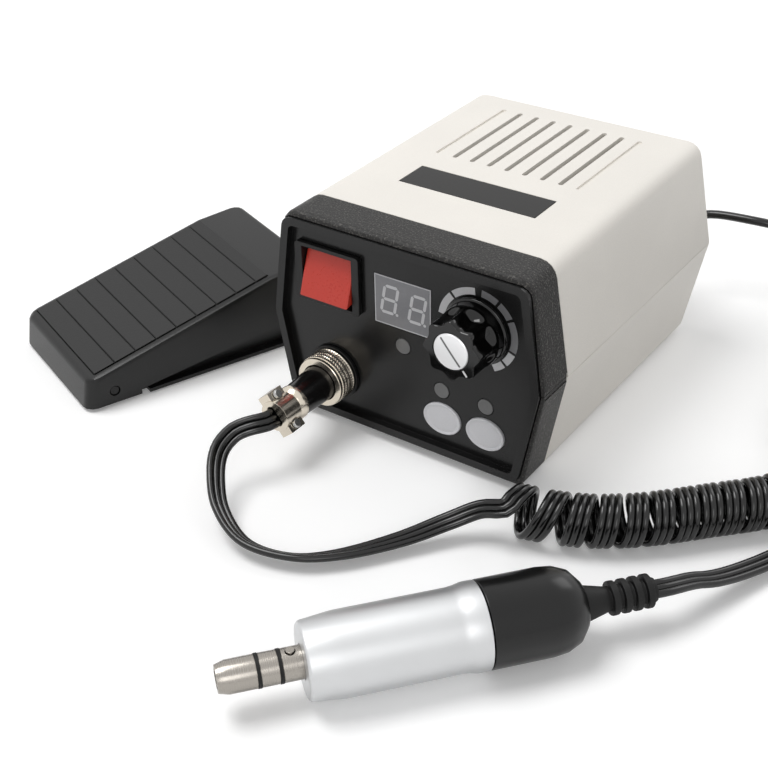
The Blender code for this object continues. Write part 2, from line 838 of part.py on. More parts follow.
def ribbon_rings(centres, across, outward):
    """Rings of points round each centre: the section of three strands laid side by side."""
    wide = RIBBON_HALF_WIDTH
    thick = RIBBON_HALF_THICK
    flat = RIBBON_FLAT_HALF_WIDTH
    section = (
        (wide, 0),
        (flat, thick),
        (0, thick),
        (-flat, thick),
        (-wide, 0),
        (-flat, -thick),
        (0, -thick),
        (flat, -thick),
    )
    rings = [centres + across * a + outward * b for a, b in section]
    return np.stack(rings, axis=1)


def swept(name, rings, parent, slot):
    """A grid laid over the rings, sewn along its seam and closed at both ends."""
    count, around = rings.shape[:2]
    bm = bmesh.new()
    bmesh.ops.create_grid(bm, x_segments=count - 1, y_segments=around, size=UNIT_SIDE)
    bm.verts.ensure_lookup_table()
    order = sorted(bm.verts, key=lambda v: (round(v.co.x, SORT_DIGITS), round(v.co.y, SORT_DIGITS)))
    for index, vert in enumerate(order):
        vert.co = rings[index // (around + 1), index % (around + 1) % around]
    bmesh.ops.remove_doubles(bm, verts=bm.verts, dist=WELD)
    bmesh.ops.holes_fill(bm, edges=bm.edges, sides=0)
    bmesh.ops.recalc_face_normals(bm, faces=bm.faces)
    return smooth(place(name, from_bmesh(name, bm), parent, slot=slot))


# Control box housing


def box_corners():
    return [
        (BOX_HALF_BASE, BOX_BASE),
        (BOX_HALF_MIDDLE, BOX_PARTING),
        (BOX_HALF_TOP, BOX_TOP),
        (-BOX_HALF_TOP, BOX_TOP),
        (-BOX_HALF_MIDDLE, BOX_PARTING),
        (-BOX_HALF_BASE, BOX_BASE),
    ]


def box_outline(depth=0.0):
    top = max(BOX_TOP_ROUND - depth, BOX_WALL * HALF)
    base = max(BOX_BASE_ROUND - depth, BOX_WALL * HALF)
    radii = (base, 0, top, top, 0, base)
    return rounded(inset(box_corners(), depth), radii)


def panel_corners():
    return [
        (PANEL_HALF_BASE, PANEL_BASE),
        (PANEL_HALF_MIDDLE, BOX_PARTING),
        (PANEL_HALF_TOP, PANEL_TOP),
        (-PANEL_HALF_TOP, PANEL_TOP),
        (-PANEL_HALF_MIDDLE, BOX_PARTING),
        (-PANEL_HALF_BASE, PANEL_BASE),
    ]


def panel_outline(depth=0.0):
    radius = max(PANEL_ROUND - depth, PANEL_ROUND * HALF)
    radii = (radius, 0, radius, radius, 0, radius)
    return rounded(inset(panel_corners(), depth), radii)


def trim_plane(bm, point, normal):
    """Cuts away what lies beyond the plane and closes the cut."""
    geometry = bm.verts[:] + bm.edges[:] + bm.faces[:]
    cut = bmesh.ops.bisect_plane(
        bm, geom=geometry, plane_co=point, plane_no=normal, clear_outer=True
    )
    edges = [item for item in cut["geom_cut"] if isinstance(item, bmesh.types.BMEdge)]
    bmesh.ops.contextual_create(bm, geom=edges)


def round_end(bm, keep, radius, steps):
    """Rounds the outline edges that keep names."""
    chosen = [edge for edge in bm.edges if keep(edge)]
    bmesh.ops.bevel(
        bm,
        geom=chosen,
        offset=radius,
        segments=steps,
        profile=HALF,
        affect="EDGES",
        clamp_overlap=True,
    )


def sharp_between(edge, test):
    """Whether an edge divides a face that passes the test from one that doesn't."""
    if len(edge.link_faces) != 2:
        return False
    first, second = (test(face) for face in edge.link_faces)
    return first != second


def shell_half(name, up):
    """One half of the shell's outer form, closed off by its own leaning rear plane."""
    mesh = slab(name, [box_outline()], -SHELL_REAR - OVERRUN, -SHELL_FRONT, PLANE_XZ)
    bm = bmesh.new()
    bm.from_mesh(mesh)
    bpy.data.meshes.remove(mesh)
    trim_plane(bm, (0, 0, BOX_PARTING + up * GAP * HALF), (0, 0, -up))
    far = (BOX_TOP, SHELL_REAR_TOP) if up > 0 else (BOX_BASE, SHELL_REAR_BASE)
    lean = Vector((0, abs(far[0] - BOX_PARTING), up * (SHELL_REAR - far[1]))).normalized()
    trim_plane(bm, (0, SHELL_REAR, BOX_PARTING), lean)
    bm.normal_update()

    def rear_edge(edge):
        if not sharp_between(edge, lambda face: face.normal.y > HALF):
            return False
        return all(face.normal.z * up > -1 + HALF for face in edge.link_faces)

    round_end(bm, rear_edge, SHELL_REAR_ROUND, CORNER_STEPS)
    bmesh.ops.recalc_face_normals(bm, faces=bm.faces)
    return from_bmesh(name, bm)


def faces_front(face):
    return face.normal.y < -HALF


def bezel_mesh():
    mesh = slab("bezel_outer", [box_outline()], -BEZEL_REAR, -BEZEL_FRONT, PLANE_XZ)
    bm = bmesh.new()
    bm.from_mesh(mesh)
    bpy.data.meshes.remove(mesh)
    bm.normal_update()
    front = [edge for edge in bm.edges if sharp_between(edge, faces_front)]
    round_end(bm, lambda edge: edge in front, BEZEL_ROUND, EDGE_STEPS)
    bmesh.ops.recalc_face_normals(bm, faces=bm.faces)
    return from_bmesh("bezel_outer", bm)


def half_cutters(frame):
    """Two blocks, one to take away all above the parting line and one all below it."""
    wide = BOX_HALF_MIDDLE + OVERRUN
    front = BEZEL_FRONT - OVERRUN
    rear = SHELL_REAR + OVERRUN
    above = block(
        "above", (-wide, front, BOX_PARTING - GAP * HALF), (wide, rear, BOX_TOP + OVERRUN)
    )
    below = block(
        "below", (-wide, front, BOX_BASE - OVERRUN), (wide, rear, BOX_PARTING + GAP * HALF)
    )
    return place("cut_above", above, frame), place("cut_below", below, frame)


def vent_loop(index):
    middle = (index - (VENT_COUNT - 1) * HALF) * VENT_PITCH
    side = VENT_WIDTH * HALF
    corners = rectangle(middle - side, middle + side, VENT_START, VENT_END)
    return rounded(corners, [VENT_ROUND] * len(corners), CORNER_STEPS)


def vent_cutter(frame):
    """The seven slots right through the top and the shallow recesses in it."""
    through = [vent_loop(i) for i in range(1, VENT_COUNT - 1)]
    blind = [vent_loop(0), vent_loop(VENT_COUNT - 1)]
    inside = BOX_TOP - BOX_WALL - OVERRUN
    outside = BOX_TOP + OVERRUN
    recess = rectangle(
        -PLATE_HALF_WIDTH - GAP, PLATE_HALF_WIDTH + GAP, PLATE_START - GAP, PLATE_END + GAP
    )
    meshes = [
        slab("vents", through, inside, outside),
        slab("blind_vents", blind, BOX_TOP - BLIND_DEPTH, outside),
        slab("plate_recess", [recess], BOX_TOP - PLATE_RECESS, outside),
    ]
    return place("cut_top", joined_mesh("cut_top", meshes), frame)


def rear_cutter(frame):
    """The holes for the three fittings in the rear wall."""
    start = SHELL_REAR_BASE - BOX_WALL - OVERRUN
    loops = [
        oval(x, REAR_FITTING_Z, FITTING_HOLE_RADIUS + GAP, FITTING_HOLE_RADIUS + GAP, SMALL_STEPS)
        for x in (GLAND_X, FUSE_X, SOCKET_X)
    ]
    return place(
        "cut_rear", slab("cut_rear", loops, -SHELL_REAR - OVERRUN, -start, PLANE_XZ), frame
    )


def notch_cutter(frame):
    """A shallow groove along the parting line of the bezel's sides."""
    low = BOX_PARTING - NOTCH_HEIGHT * HALF
    high = BOX_PARTING + NOTCH_HEIGHT * HALF
    inner = BOX_HALF_MIDDLE - NOTCH_DEPTH
    outer = BOX_HALF_MIDDLE + OVERRUN
    front = BEZEL_FRONT - OVERRUN
    rear = BEZEL_REAR + OVERRUN
    meshes = [
        block("notch_right", (inner, front, low), (outer, rear, high)),
        block("notch_left", (-outer, front, low), (-inner, rear, high)),
    ]
    return place("cut_notch", joined_mesh("cut_notch", meshes), frame)


def housing(frame):
    above, below = half_cutters(frame)
    inner = slab(
        "shell_inner",
        [box_outline(BOX_WALL)],
        -SHELL_REAR_TOP + BOX_WALL,
        -SHELL_FRONT + OVERRUN,
        PLANE_XZ,
    )
    hollow = place("cut_hollow", inner, frame)
    upper = place("upper_shell", shell_half("upper_shell", 1), frame, slot="shell_white")
    boolean(boolean(upper, hollow), vent_cutter(frame))
    lower = place("lower_shell", shell_half("lower_shell", -1), frame, slot="shell_white")
    boolean(boolean(lower, hollow), rear_cutter(frame))
    pocket = place(
        "cut_pocket",
        slab(
            "cut_pocket",
            [panel_outline(-GAP)],
            -PANEL_BACK - GAP,
            -BEZEL_FRONT + OVERRUN,
            PLANE_XZ,
        ),
        frame,
    )
    opening = place(
        "cut_opening",
        slab(
            "cut_opening",
            [panel_outline(PANEL_LEDGE)],
            -BEZEL_REAR - OVERRUN,
            -PANEL_BACK + OVERRUN,
            PLANE_XZ,
        ),
        frame,
    )
    notch = notch_cutter(frame)
    bezel = bezel_mesh()
    for name, data, half in (
        ("bezel_upper", bezel, below),
        ("bezel_lower", bezel.copy(), above),
    ):
        ring = place(name, data, frame, slot="bezel_black")
        for cutter in (pocket, opening, notch, half):
            boolean(ring, cutter)


def name_plate(frame):
    outline = rectangle(-PLATE_HALF_WIDTH, PLATE_HALF_WIDTH, PLATE_START, PLATE_END)
    low = BOX_TOP - PLATE_RECESS + GAP
    mesh = slab("name_plate", [outline], low, low + PLATE_THICK)
    place("name_plate", mesh, frame, slot="plate_dark")


def foot_spots():
    return [(x, y) for x in (-FOOT_X, FOOT_X) for y in (FOOT_FRONT_Y, FOOT_REAR_Y)]


def feet(frame):
    for number, (x, y) in enumerate(foot_spots(), 1):
        mesh = disc(
            f"foot_{number}", FOOT_TIP_RADIUS, 0, BOX_BASE - GAP, SMALL_STEPS, FOOT_RADIUS
        )
        smooth(place(f"foot_{number}", mesh, frame, (x, y, 0), slot="rubber_black"))


# Front panel and what sits in it


def switch_rectangle(half_width, half_height, radius=0.0):
    corners = rectangle(
        SWITCH_X - half_width,
        SWITCH_X + half_width,
        SWITCH_Z - half_height,
        SWITCH_Z + half_height,
    )
    return rounded(corners, [radius] * len(corners), CORNER_STEPS) if radius else corners


def lamp_spots():
    first = (LAMP_1_X, DISPLAY_BASE - LAMP_1_DROP)
    return (first, (LAMP_2_X, LAMP_2_Z), (LAMP_3_X, LAMP_3_Z))


def panel(frame):
    holes = [
        switch_rectangle(SWITCH_BODY_HALF_WIDTH + GAP, SWITCH_BODY_HALF_HEIGHT + GAP),
        rectangle(
            DISPLAY_LEFT - GAP, DISPLAY_RIGHT + GAP, DISPLAY_BASE - GAP, DISPLAY_TOP + GAP
        ),
        oval(
            KNOB_X, KNOB_Z, CONTROL_BUSH_RADIUS + GAP, CONTROL_BUSH_RADIUS + GAP, SMALL_STEPS
        ),
        oval(
            PLUG_X, PLUG_Z, JACK_BARREL_RADIUS + GAP, JACK_BARREL_RADIUS + GAP, ROUND_STEPS
        ),
    ]
    for x in (BUTTON_LEFT_X, BUTTON_RIGHT_X):
        holes.append(
            oval(
                x, BUTTON_Z, BUTTON_HALF_WIDTH + GAP, BUTTON_HALF_HEIGHT + GAP, BUTTON_POINTS
            )
        )
    for x, z in lamp_spots():
        holes.append(oval(x, z, LAMP_RADIUS + GAP, LAMP_RADIUS + GAP, SMALL_STEPS))
    mesh = slab(
        "front_panel", [panel_outline()] + holes, -PANEL_BACK, -PANEL_RIM_FRONT, PLANE_XZ
    )
    piece = place("front_panel", mesh, frame, slot="panel_black")
    inside = panel_outline(PANEL_RIM_WIDTH)
    recess = slab("recess", [inside], -PANEL_FRONT, -PANEL_RIM_FRONT + OVERRUN, PLANE_XZ)
    boolean(piece, place("cut_recess", recess, frame))


def switch(frame):
    """A frame with a deep body, open to the front, and the tilting rocker in it."""
    rim_front = PANEL_FRONT - GAP - SWITCH_RIM_DEPTH
    rim = slab(
        "switch_rim",
        [switch_rectangle(SWITCH_HALF_WIDTH, SWITCH_HALF_HEIGHT, SWITCH_ROUND)],
        -PANEL_FRONT + GAP,
        -rim_front,
        PLANE_XZ,
    )
    body = slab(
        "switch_back",
        [switch_rectangle(SWITCH_BODY_HALF_WIDTH, SWITCH_BODY_HALF_HEIGHT)],
        -PANEL_BACK - SWITCH_BODY_DEPTH,
        -PANEL_FRONT + SWITCH_RIM_DEPTH * HALF,
        PLANE_XZ,
    )
    housing_piece = place("switch_body", rim, frame, slot="switch_black")
    boolean(housing_piece, place("join_switch", body, frame), "UNION")
    axis_y = PANEL_FRONT
    well = slab(
        "switch_well",
        [
            switch_rectangle(
                ROCKER_HALF_WIDTH + GAP, ROCKER_HALF_HEIGHT + ROCKER_SWING_ROOM
            )
        ],
        -axis_y - ROCKER_ROOT - ROCKER_HALF_HEIGHT * HALF,
        -rim_front + OVERRUN,
        PLANE_XZ,
    )
    boolean(housing_piece, place("cut_switch", well, frame))
    profile = [
        (ROCKER_LIFT, -ROCKER_HALF_HEIGHT),
        (ROCKER_CROWN, 0),
        (-ROCKER_TOP_SINK, ROCKER_HALF_HEIGHT),
        (-ROCKER_ROOT * HALF, ROCKER_FLANK),
        (-ROCKER_ROOT, ROCKER_SOLE),
        (-ROCKER_ROOT, -ROCKER_SOLE),
        (-ROCKER_ROOT * HALF, -ROCKER_FLANK),
    ]
    outline = [(-forward, up) for forward, up in profile]
    rocker = slab(
        "switch_rocker", [outline], -ROCKER_HALF_WIDTH, ROCKER_HALF_WIDTH, PLANE_YZ
    )
    place("switch_rocker", rocker, frame, (SWITCH_X, axis_y, SWITCH_Z), slot="rocker_red")


def display(frame):
    outline = [rectangle(DISPLAY_LEFT, DISPLAY_RIGHT, DISPLAY_BASE, DISPLAY_TOP)]
    back = PANEL_FRONT + WINDOW_THICK
    window = slab("display_window", outline, -back, -PANEL_FRONT, PLANE_XZ)
    place("display_window", window, frame, slot="window_grey")
    start = back + GAP
    module = slab("display_module", outline, -start - MODULE_DEPTH, -start, PLANE_XZ)
    place("display_module", module, frame, slot="module_grey")


def lobed_outline(radius):
    turn = FULL_TURN / KNOB_LOBE_POINTS
    points = []
    for i in range(KNOB_LOBE_POINTS):
        reach = radius + KNOB_LOBE_DEPTH * math.cos(KNOB_LOBES * i * turn)
        points.append((reach * math.cos(i * turn), reach * math.sin(i * turn)))
    return points


def knob(frame):
    """A skirted knob with a lobed grip, its bright cap, and the control it turns."""
    hub = place("knob_axis", None, frame, (KNOB_X, PANEL_FRONT, KNOB_Z), FACE_FRONT)
    height = PANEL_FRONT - KNOB_FRONT
    low = KNOB_STANDOFF
    shoulder = low + KNOB_SKIRT_THICK
    grip = slab("knob_grip", [lobed_outline(KNOB_GRIP_RADIUS)], shoulder - GAP, height)
    skirt = disc("knob_skirt", KNOB_SKIRT_RADIUS, low, shoulder, ROUND_STEPS, KNOB_SHOULDER_RADIUS)
    piece = place("speed_knob", grip, hub, slot="knob_black")
    boolean(piece, place("join_skirt", skirt, hub), "UNION")
    bore = disc("knob_bore", CONTROL_SHAFT_RADIUS + GAP, -OVERRUN, KNOB_BORE_DEPTH)
    room = KNOB_UNDER_ROOM
    under = disc("knob_under", CONTROL_BUSH_RADIUS + room, -OVERRUN, CONTROL_BUSH_PROUD + room)
    front = disc("knob_face", CAP_RADIUS + GAP, height - CAP_THICK + CAP_PROUD - GAP, height + OVERRUN)
    boolean(piece, place("cut_bore", bore, hub))
    boolean(piece, place("cut_under", under, hub))
    boolean(piece, place("cut_face", front, hub))
    top = height + CAP_PROUD
    cap = disc("knob_cap", CAP_RADIUS, top - CAP_THICK, top, ROUND_STEPS)
    smooth(place("knob_cap", cap, hub, slot="cap_silver"))
    back = PANEL_FRONT - PANEL_BACK - GAP
    bush = CONTROL_SHAFT_RADIUS + GAP
    can = [
        (CONTROL_BUSH_RADIUS, CONTROL_BUSH_PROUD),
        (CONTROL_BUSH_RADIUS, back),
        (CONTROL_CAN_RADIUS, back),
        (CONTROL_CAN_RADIUS, back - CONTROL_CAN_DEPTH),
        (bush, back - CONTROL_CAN_DEPTH),
        (bush, CONTROL_BUSH_PROUD),
    ]
    turned("speed_control", can, hub, (0, 0, 0), (0, 0, 0), "steel", SMALL_STEPS, True)
    shaft = disc(
        "control_shaft", CONTROL_SHAFT_RADIUS, back - SHAFT_TAIL, KNOB_BORE_DEPTH - GAP
    )
    smooth(place("control_shaft", shaft, hub, slot="steel"))


def buttons(frame):
    for name, x in (("button_left", BUTTON_LEFT_X), ("button_right", BUTTON_RIGHT_X)):
        front = PANEL_FRONT - BUTTON_PROUD
        face = slab(
            name,
            [oval(0, 0, BUTTON_HALF_WIDTH, BUTTON_HALF_HEIGHT, BUTTON_POINTS)],
            -BUTTON_THICK,
            0,
        )
        centre = (x, front, BUTTON_Z)
        reach = BOARD_FRONT - TACT_DEPTH - STEM_TRAVEL - GAP - front
        stem = disc("stem", STEM_RADIUS, -reach, -BUTTON_THICK * HALF)
        piece = place(name, face, frame, centre, FACE_FRONT, "button_grey")
        boolean(piece, place(f"join_{name}", stem, frame, centre, FACE_FRONT), "UNION")


def lamps(frame):
    for number, (x, z) in enumerate(lamp_spots(), 1):
        name = f"lamp_{number}"
        mesh = disc(name, LAMP_RADIUS, -LAMP_DEPTH, LAMP_PROUD)
        smooth(place(name, mesh, frame, (x, PANEL_FRONT, z), FACE_FRONT, "lamp_grey"))


def post_spots():
    low = BOARD_BASE + POST_MARGIN
    return (
        (BOARD_LEFT + POST_MARGIN, low),
        (POST_MIDDLE_X, POST_MIDDLE_Z),
        (BOARD_RIGHT - POST_MARGIN, BOARD_TOP - POST_MARGIN),
    )


def board(frame):
    """The board behind the panel, with its posts and two small push switches."""
    outline = rectangle(BOARD_LEFT, BOARD_RIGHT, BOARD_BASE, BOARD_TOP)
    mesh = slab("board", [outline], -BOARD_FRONT - BOARD_THICK, -BOARD_FRONT, PLANE_XZ)
    piece = place("control_board", mesh, frame, slot="board_green")
    start = BOARD_FRONT + BOARD_THICK * HALF
    loops = [
        oval(x, z, POST_RADIUS, POST_RADIUS, SMALL_STEPS) for x, z in post_spots()
    ]
    posts = slab("posts", loops, -start, -PANEL_BACK - GAP, PLANE_XZ)
    side = TACT_SIDE * HALF
    tacts = [
        rectangle(x - side, x + side, BUTTON_Z - side, BUTTON_Z + side)
        for x in (BUTTON_LEFT_X, BUTTON_RIGHT_X)
    ]
    tact_mesh = slab("tacts", tacts, -start, -BOARD_FRONT + TACT_DEPTH, PLANE_XZ)
    joined = joined_mesh("board_fittings", [posts, tact_mesh])
    boolean(piece, place("join_board", joined, frame), "UNION")


# Round connector and cable clamp


def connector(frame):
    hub = place("plug_axis", None, frame, (PLUG_X, 0, PLUG_Z), FACE_FRONT)
    flange_back = -PANEL_FRONT + GAP
    flange_front = flange_back + JACK_FLANGE_THICK
    barrel_front = flange_front + JACK_BARREL_PROUD
    jack = [
        (JACK_BARREL_RADIUS, barrel_front),
        (JACK_BARREL_RADIUS, flange_front),
        (JACK_FLANGE_RADIUS, flange_front),
        (JACK_FLANGE_RADIUS, flange_back),
        (JACK_BARREL_RADIUS, flange_back),
        (JACK_BARREL_RADIUS, -JACK_BARREL_BACK),
        (JACK_BORE_RADIUS, -JACK_BARREL_BACK),
        (JACK_BORE_RADIUS, barrel_front),
    ]
    turned("motor_jack", jack, hub, (0, 0, 0), (0, 0, 0), "nickel", ROUND_STEPS, True)
    nut_front = -PANEL_BACK - GAP
    bore = JACK_BARREL_RADIUS + GAP
    loops = [oval(0, 0, NUT_RADIUS, NUT_RADIUS, NUT_SIDES), oval(0, 0, bore, bore, ROUND_STEPS)]
    nut = slab("jack_nut", loops, nut_front - NUT_THICK, nut_front)
    place("jack_nut", nut, hub, slot="nickel")
    front = -RING_FRONT
    ring = [
        (RING_LIP_RADIUS, front),
        (RING_LIP_RADIUS, front - RING_LIP),
        (RING_RADIUS, front - RING_LIP),
        (RING_RADIUS, flange_front + GAP),
        (RING_BORE_RADIUS, flange_front + GAP),
        (RING_BORE_RADIUS, front),
    ]
    turned("coupling_ring", ring, hub, (0, 0, 0), (0, 0, 0), "nickel", ROUND_STEPS, True)
    sleeve = [
        (0, -SLEEVE_FRONT),
        (SLEEVE_TIP_RADIUS, -SLEEVE_FRONT),
        (SLEEVE_RADIUS, front),
        (SLEEVE_RADIUS, barrel_front + GAP),
        (JACK_CORE_RADIUS, barrel_front + GAP),
        (JACK_CORE_RADIUS, SLEEVE_BACK),
        (0, SLEEVE_BACK),
    ]
    turned("plug_sleeve", sleeve, hub, (0, 0, 0), (0, 0, 0), "plug_black")
    collar_back = -SLEEVE_FRONT + GAP
    collar_front = -COLLAR_FRONT
    collar = [
        (0, collar_front),
        (COLLAR_NECK_RADIUS, collar_front),
        (COLLAR_RADIUS, collar_front - RING_LIP),
        (COLLAR_RADIUS, collar_back),
        (0, collar_back),
    ]
    turned("plug_collar", collar, hub, (0, 0, 0), (0, 0, 0), "nickel")
    saddle(hub)


def saddle(hub):
    """The clamp that grips the flat cord, its two halves drawn in as one, and its screws."""
    low = -COLLAR_FRONT + GAP
    high = -SADDLE_FRONT
    turn = (0, 0, CLAMP_TILT)
    body = place(
        "cord_clamp", disc("cord_clamp", SADDLE_RADIUS, low, high, ROUND_STEPS), hub,
        rotation=turn, slot="nickel",
    )
    ears = block(
        "clamp_ears",
        (-EAR_REACH, -EAR_HALF_THICK, low + GAP),
        (EAR_REACH, EAR_HALF_THICK, high - GAP),
    )
    boolean(body, place("join_ears", ears, hub, rotation=turn), "UNION")
    corners = rectangle(
        -SADDLE_BORE_HALF_WIDTH,
        SADDLE_BORE_HALF_WIDTH,
        -SADDLE_BORE_HALF_HEIGHT,
        SADDLE_BORE_HALF_HEIGHT,
    )
    bore = rounded(corners, [SADDLE_BORE_ROUND] * len(corners), CORNER_STEPS)
    bore_mesh = slab("clamp_bore", [bore], high - SADDLE_BORE_DEPTH, high + OVERRUN)
    boolean(body, place("cut_clamp", bore_mesh, hub, rotation=turn))
    middle = (low + high) * HALF
    for number, side in enumerate((-1, 1), 1):
        name = f"clamp_screw_{number}"
        arm = (EAR_REACH + SADDLE_BORE_HALF_WIDTH) * HALF * side
        spot = Matrix.Rotation(CLAMP_TILT, 4, "Z") @ Vector((arm, 0, middle))
        hole = disc("hole", SCREW_RADIUS + GAP, -HOLE_REACH, HOLE_REACH)
        facing = (-QUARTER_TURN, 0, CLAMP_TILT)
        boolean(body, place(f"cut_{name}", hole, hub, spot, facing))
        seat = disc("seat", SCREW_HEAD_RADIUS + GAP, EAR_HALF_THICK, SEAT_REACH, KEY_STEPS)
        boolean(body, place(f"cut_seat_{number}", seat, hub, spot, facing))
        screw = [
            (0, EAR_HALF_THICK + SCREW_HEAD + GAP),
            (SCREW_CROWN_RADIUS, EAR_HALF_THICK + SCREW_HEAD + GAP),
            (SCREW_HEAD_RADIUS, EAR_HALF_THICK + SCREW_HEAD * HALF),
            (SCREW_HEAD_RADIUS, EAR_HALF_THICK + GAP),
            (SCREW_RADIUS, EAR_HALF_THICK + GAP),
            (SCREW_RADIUS, -EAR_HALF_THICK),
            (0, -EAR_HALF_THICK),
        ]
        turned(name, screw, hub, spot, facing, "nickel", PIN_STEPS)


# Inside and rear fittings


def transformer(frame):
    base = BOX_BASE + BOX_WALL + GAP
    core = block(
        "power_module",
        (-MODULE_HALF_WIDTH, MODULE_START, base),
        (MODULE_HALF_WIDTH, MODULE_END, base + MODULE_HEIGHT),
    )
    piece = place("power_module", core, frame, slot="transformer")
    middle = (MODULE_START + MODULE_END) * HALF
    depth = (MODULE_END - MODULE_START) * LAMINATION_SHARE
    wide = MODULE_HALF_WIDTH + MODULE_TAB
    tabs = block("tabs", (-wide, middle - depth, base), (wide, middle + depth, base + BOX_WALL))
    boolean(piece, place("join_tabs", tabs, frame), "UNION")


def rear_fittings(frame):
    """The strain relief of the mains lead, the fuse holder and the pedal's socket."""
    wall = SHELL_REAR + (SHELL_REAR_BASE - SHELL_REAR) * (BOX_PARTING - REAR_FITTING_Z) / (
        BOX_PARTING - BOX_BASE
    )
    out = FITTING_STANDOFF
    gland = [
        (0, GLAND_LENGTH + out),
        (GLAND_TIP_RADIUS, GLAND_LENGTH + out),
        (GLAND_RADIUS, GLAND_FLANGE + out),
        (GLAND_FLANGE_RADIUS, GLAND_FLANGE + out),
        (GLAND_FLANGE_RADIUS, out),
        (FITTING_HOLE_RADIUS, out),
        (FITTING_HOLE_RADIUS, -GLAND_TAIL),
        (0, -GLAND_TAIL),
    ]
    turned(
        "mains_gland", gland, frame, (GLAND_X, wall, REAR_FITTING_Z), FACE_REAR,
        "rubber_black", SMALL_STEPS,
    )
    holder = [
        (0, -FUSE_BODY * HALF),
        (FUSE_BORE_RADIUS, -FUSE_BODY * HALF),
        (FUSE_BORE_RADIUS, GLAND_FLANGE + out),
        (FUSE_FLANGE_RADIUS, GLAND_FLANGE + out),
        (FUSE_FLANGE_RADIUS, out),
        (FUSE_RADIUS, out),
        (FUSE_RADIUS, -FUSE_BODY),
        (0, -FUSE_BODY),
    ]
    seat = (FUSE_X, wall, REAR_FITTING_Z)
    turned("fuse_holder", holder, frame, seat, FACE_REAR, "switch_black", SMALL_STEPS)
    top = GLAND_FLANGE + out + GAP + FUSE_CAP
    cap = [
        (0, top),
        (FUSE_CAP_TIP_RADIUS, top),
        (FUSE_CAP_RADIUS, top - FUSE_CAP_EDGE),
        (FUSE_CAP_RADIUS, top - FUSE_CAP),
        (FUSE_BORE_RADIUS - GAP, top - FUSE_CAP),
        (FUSE_BORE_RADIUS - GAP, 0),
        (0, 0),
    ]
    piece = turned("fuse_cap", cap, frame, seat, FACE_REAR, "switch_black", SMALL_STEPS)
    slot = block(
        "fuse_slot",
        (-FUSE_SLOT_HALF_LENGTH, -FUSE_SLOT * HALF, top - FUSE_SLOT),
        (FUSE_SLOT_HALF_LENGTH, FUSE_SLOT * HALF, top + OVERRUN),
    )
    boolean(piece, place("cut_fuse", slot, frame, seat, FACE_REAR))
    face = SOCKET_FLANGE + out
    socket = [
        (0, face - SOCKET_BORE_DEPTH),
        (SOCKET_BORE_RADIUS, face - SOCKET_BORE_DEPTH),
        (SOCKET_BORE_RADIUS, face),
        (SOCKET_FLANGE_RADIUS, face),
        (SOCKET_FLANGE_RADIUS, out),
        (SOCKET_RADIUS, out),
        (SOCKET_RADIUS, -SOCKET_BODY),
        (0, -SOCKET_BODY),
    ]
    seat = (SOCKET_X, wall, REAR_FITTING_Z)
    turned("pedal_socket", socket, frame, seat, FACE_REAR, "nickel", SMALL_STEPS)


# Foot pedal


def tread_height(y):
    if y <= PEDAL_KINK:
        share = (y - PEDAL_RIDGE) / (PEDAL_KINK - PEDAL_RIDGE)
        return PEDAL_FRONT_HEIGHT + (PEDAL_KINK_HEIGHT - PEDAL_FRONT_HEIGHT) * share
    rest = (y - PEDAL_KINK) / (PEDAL_LENGTH - PEDAL_KINK)
    return PEDAL_KINK_HEIGHT + (PEDAL_REAR_HEIGHT - PEDAL_KINK_HEIGHT) * rest


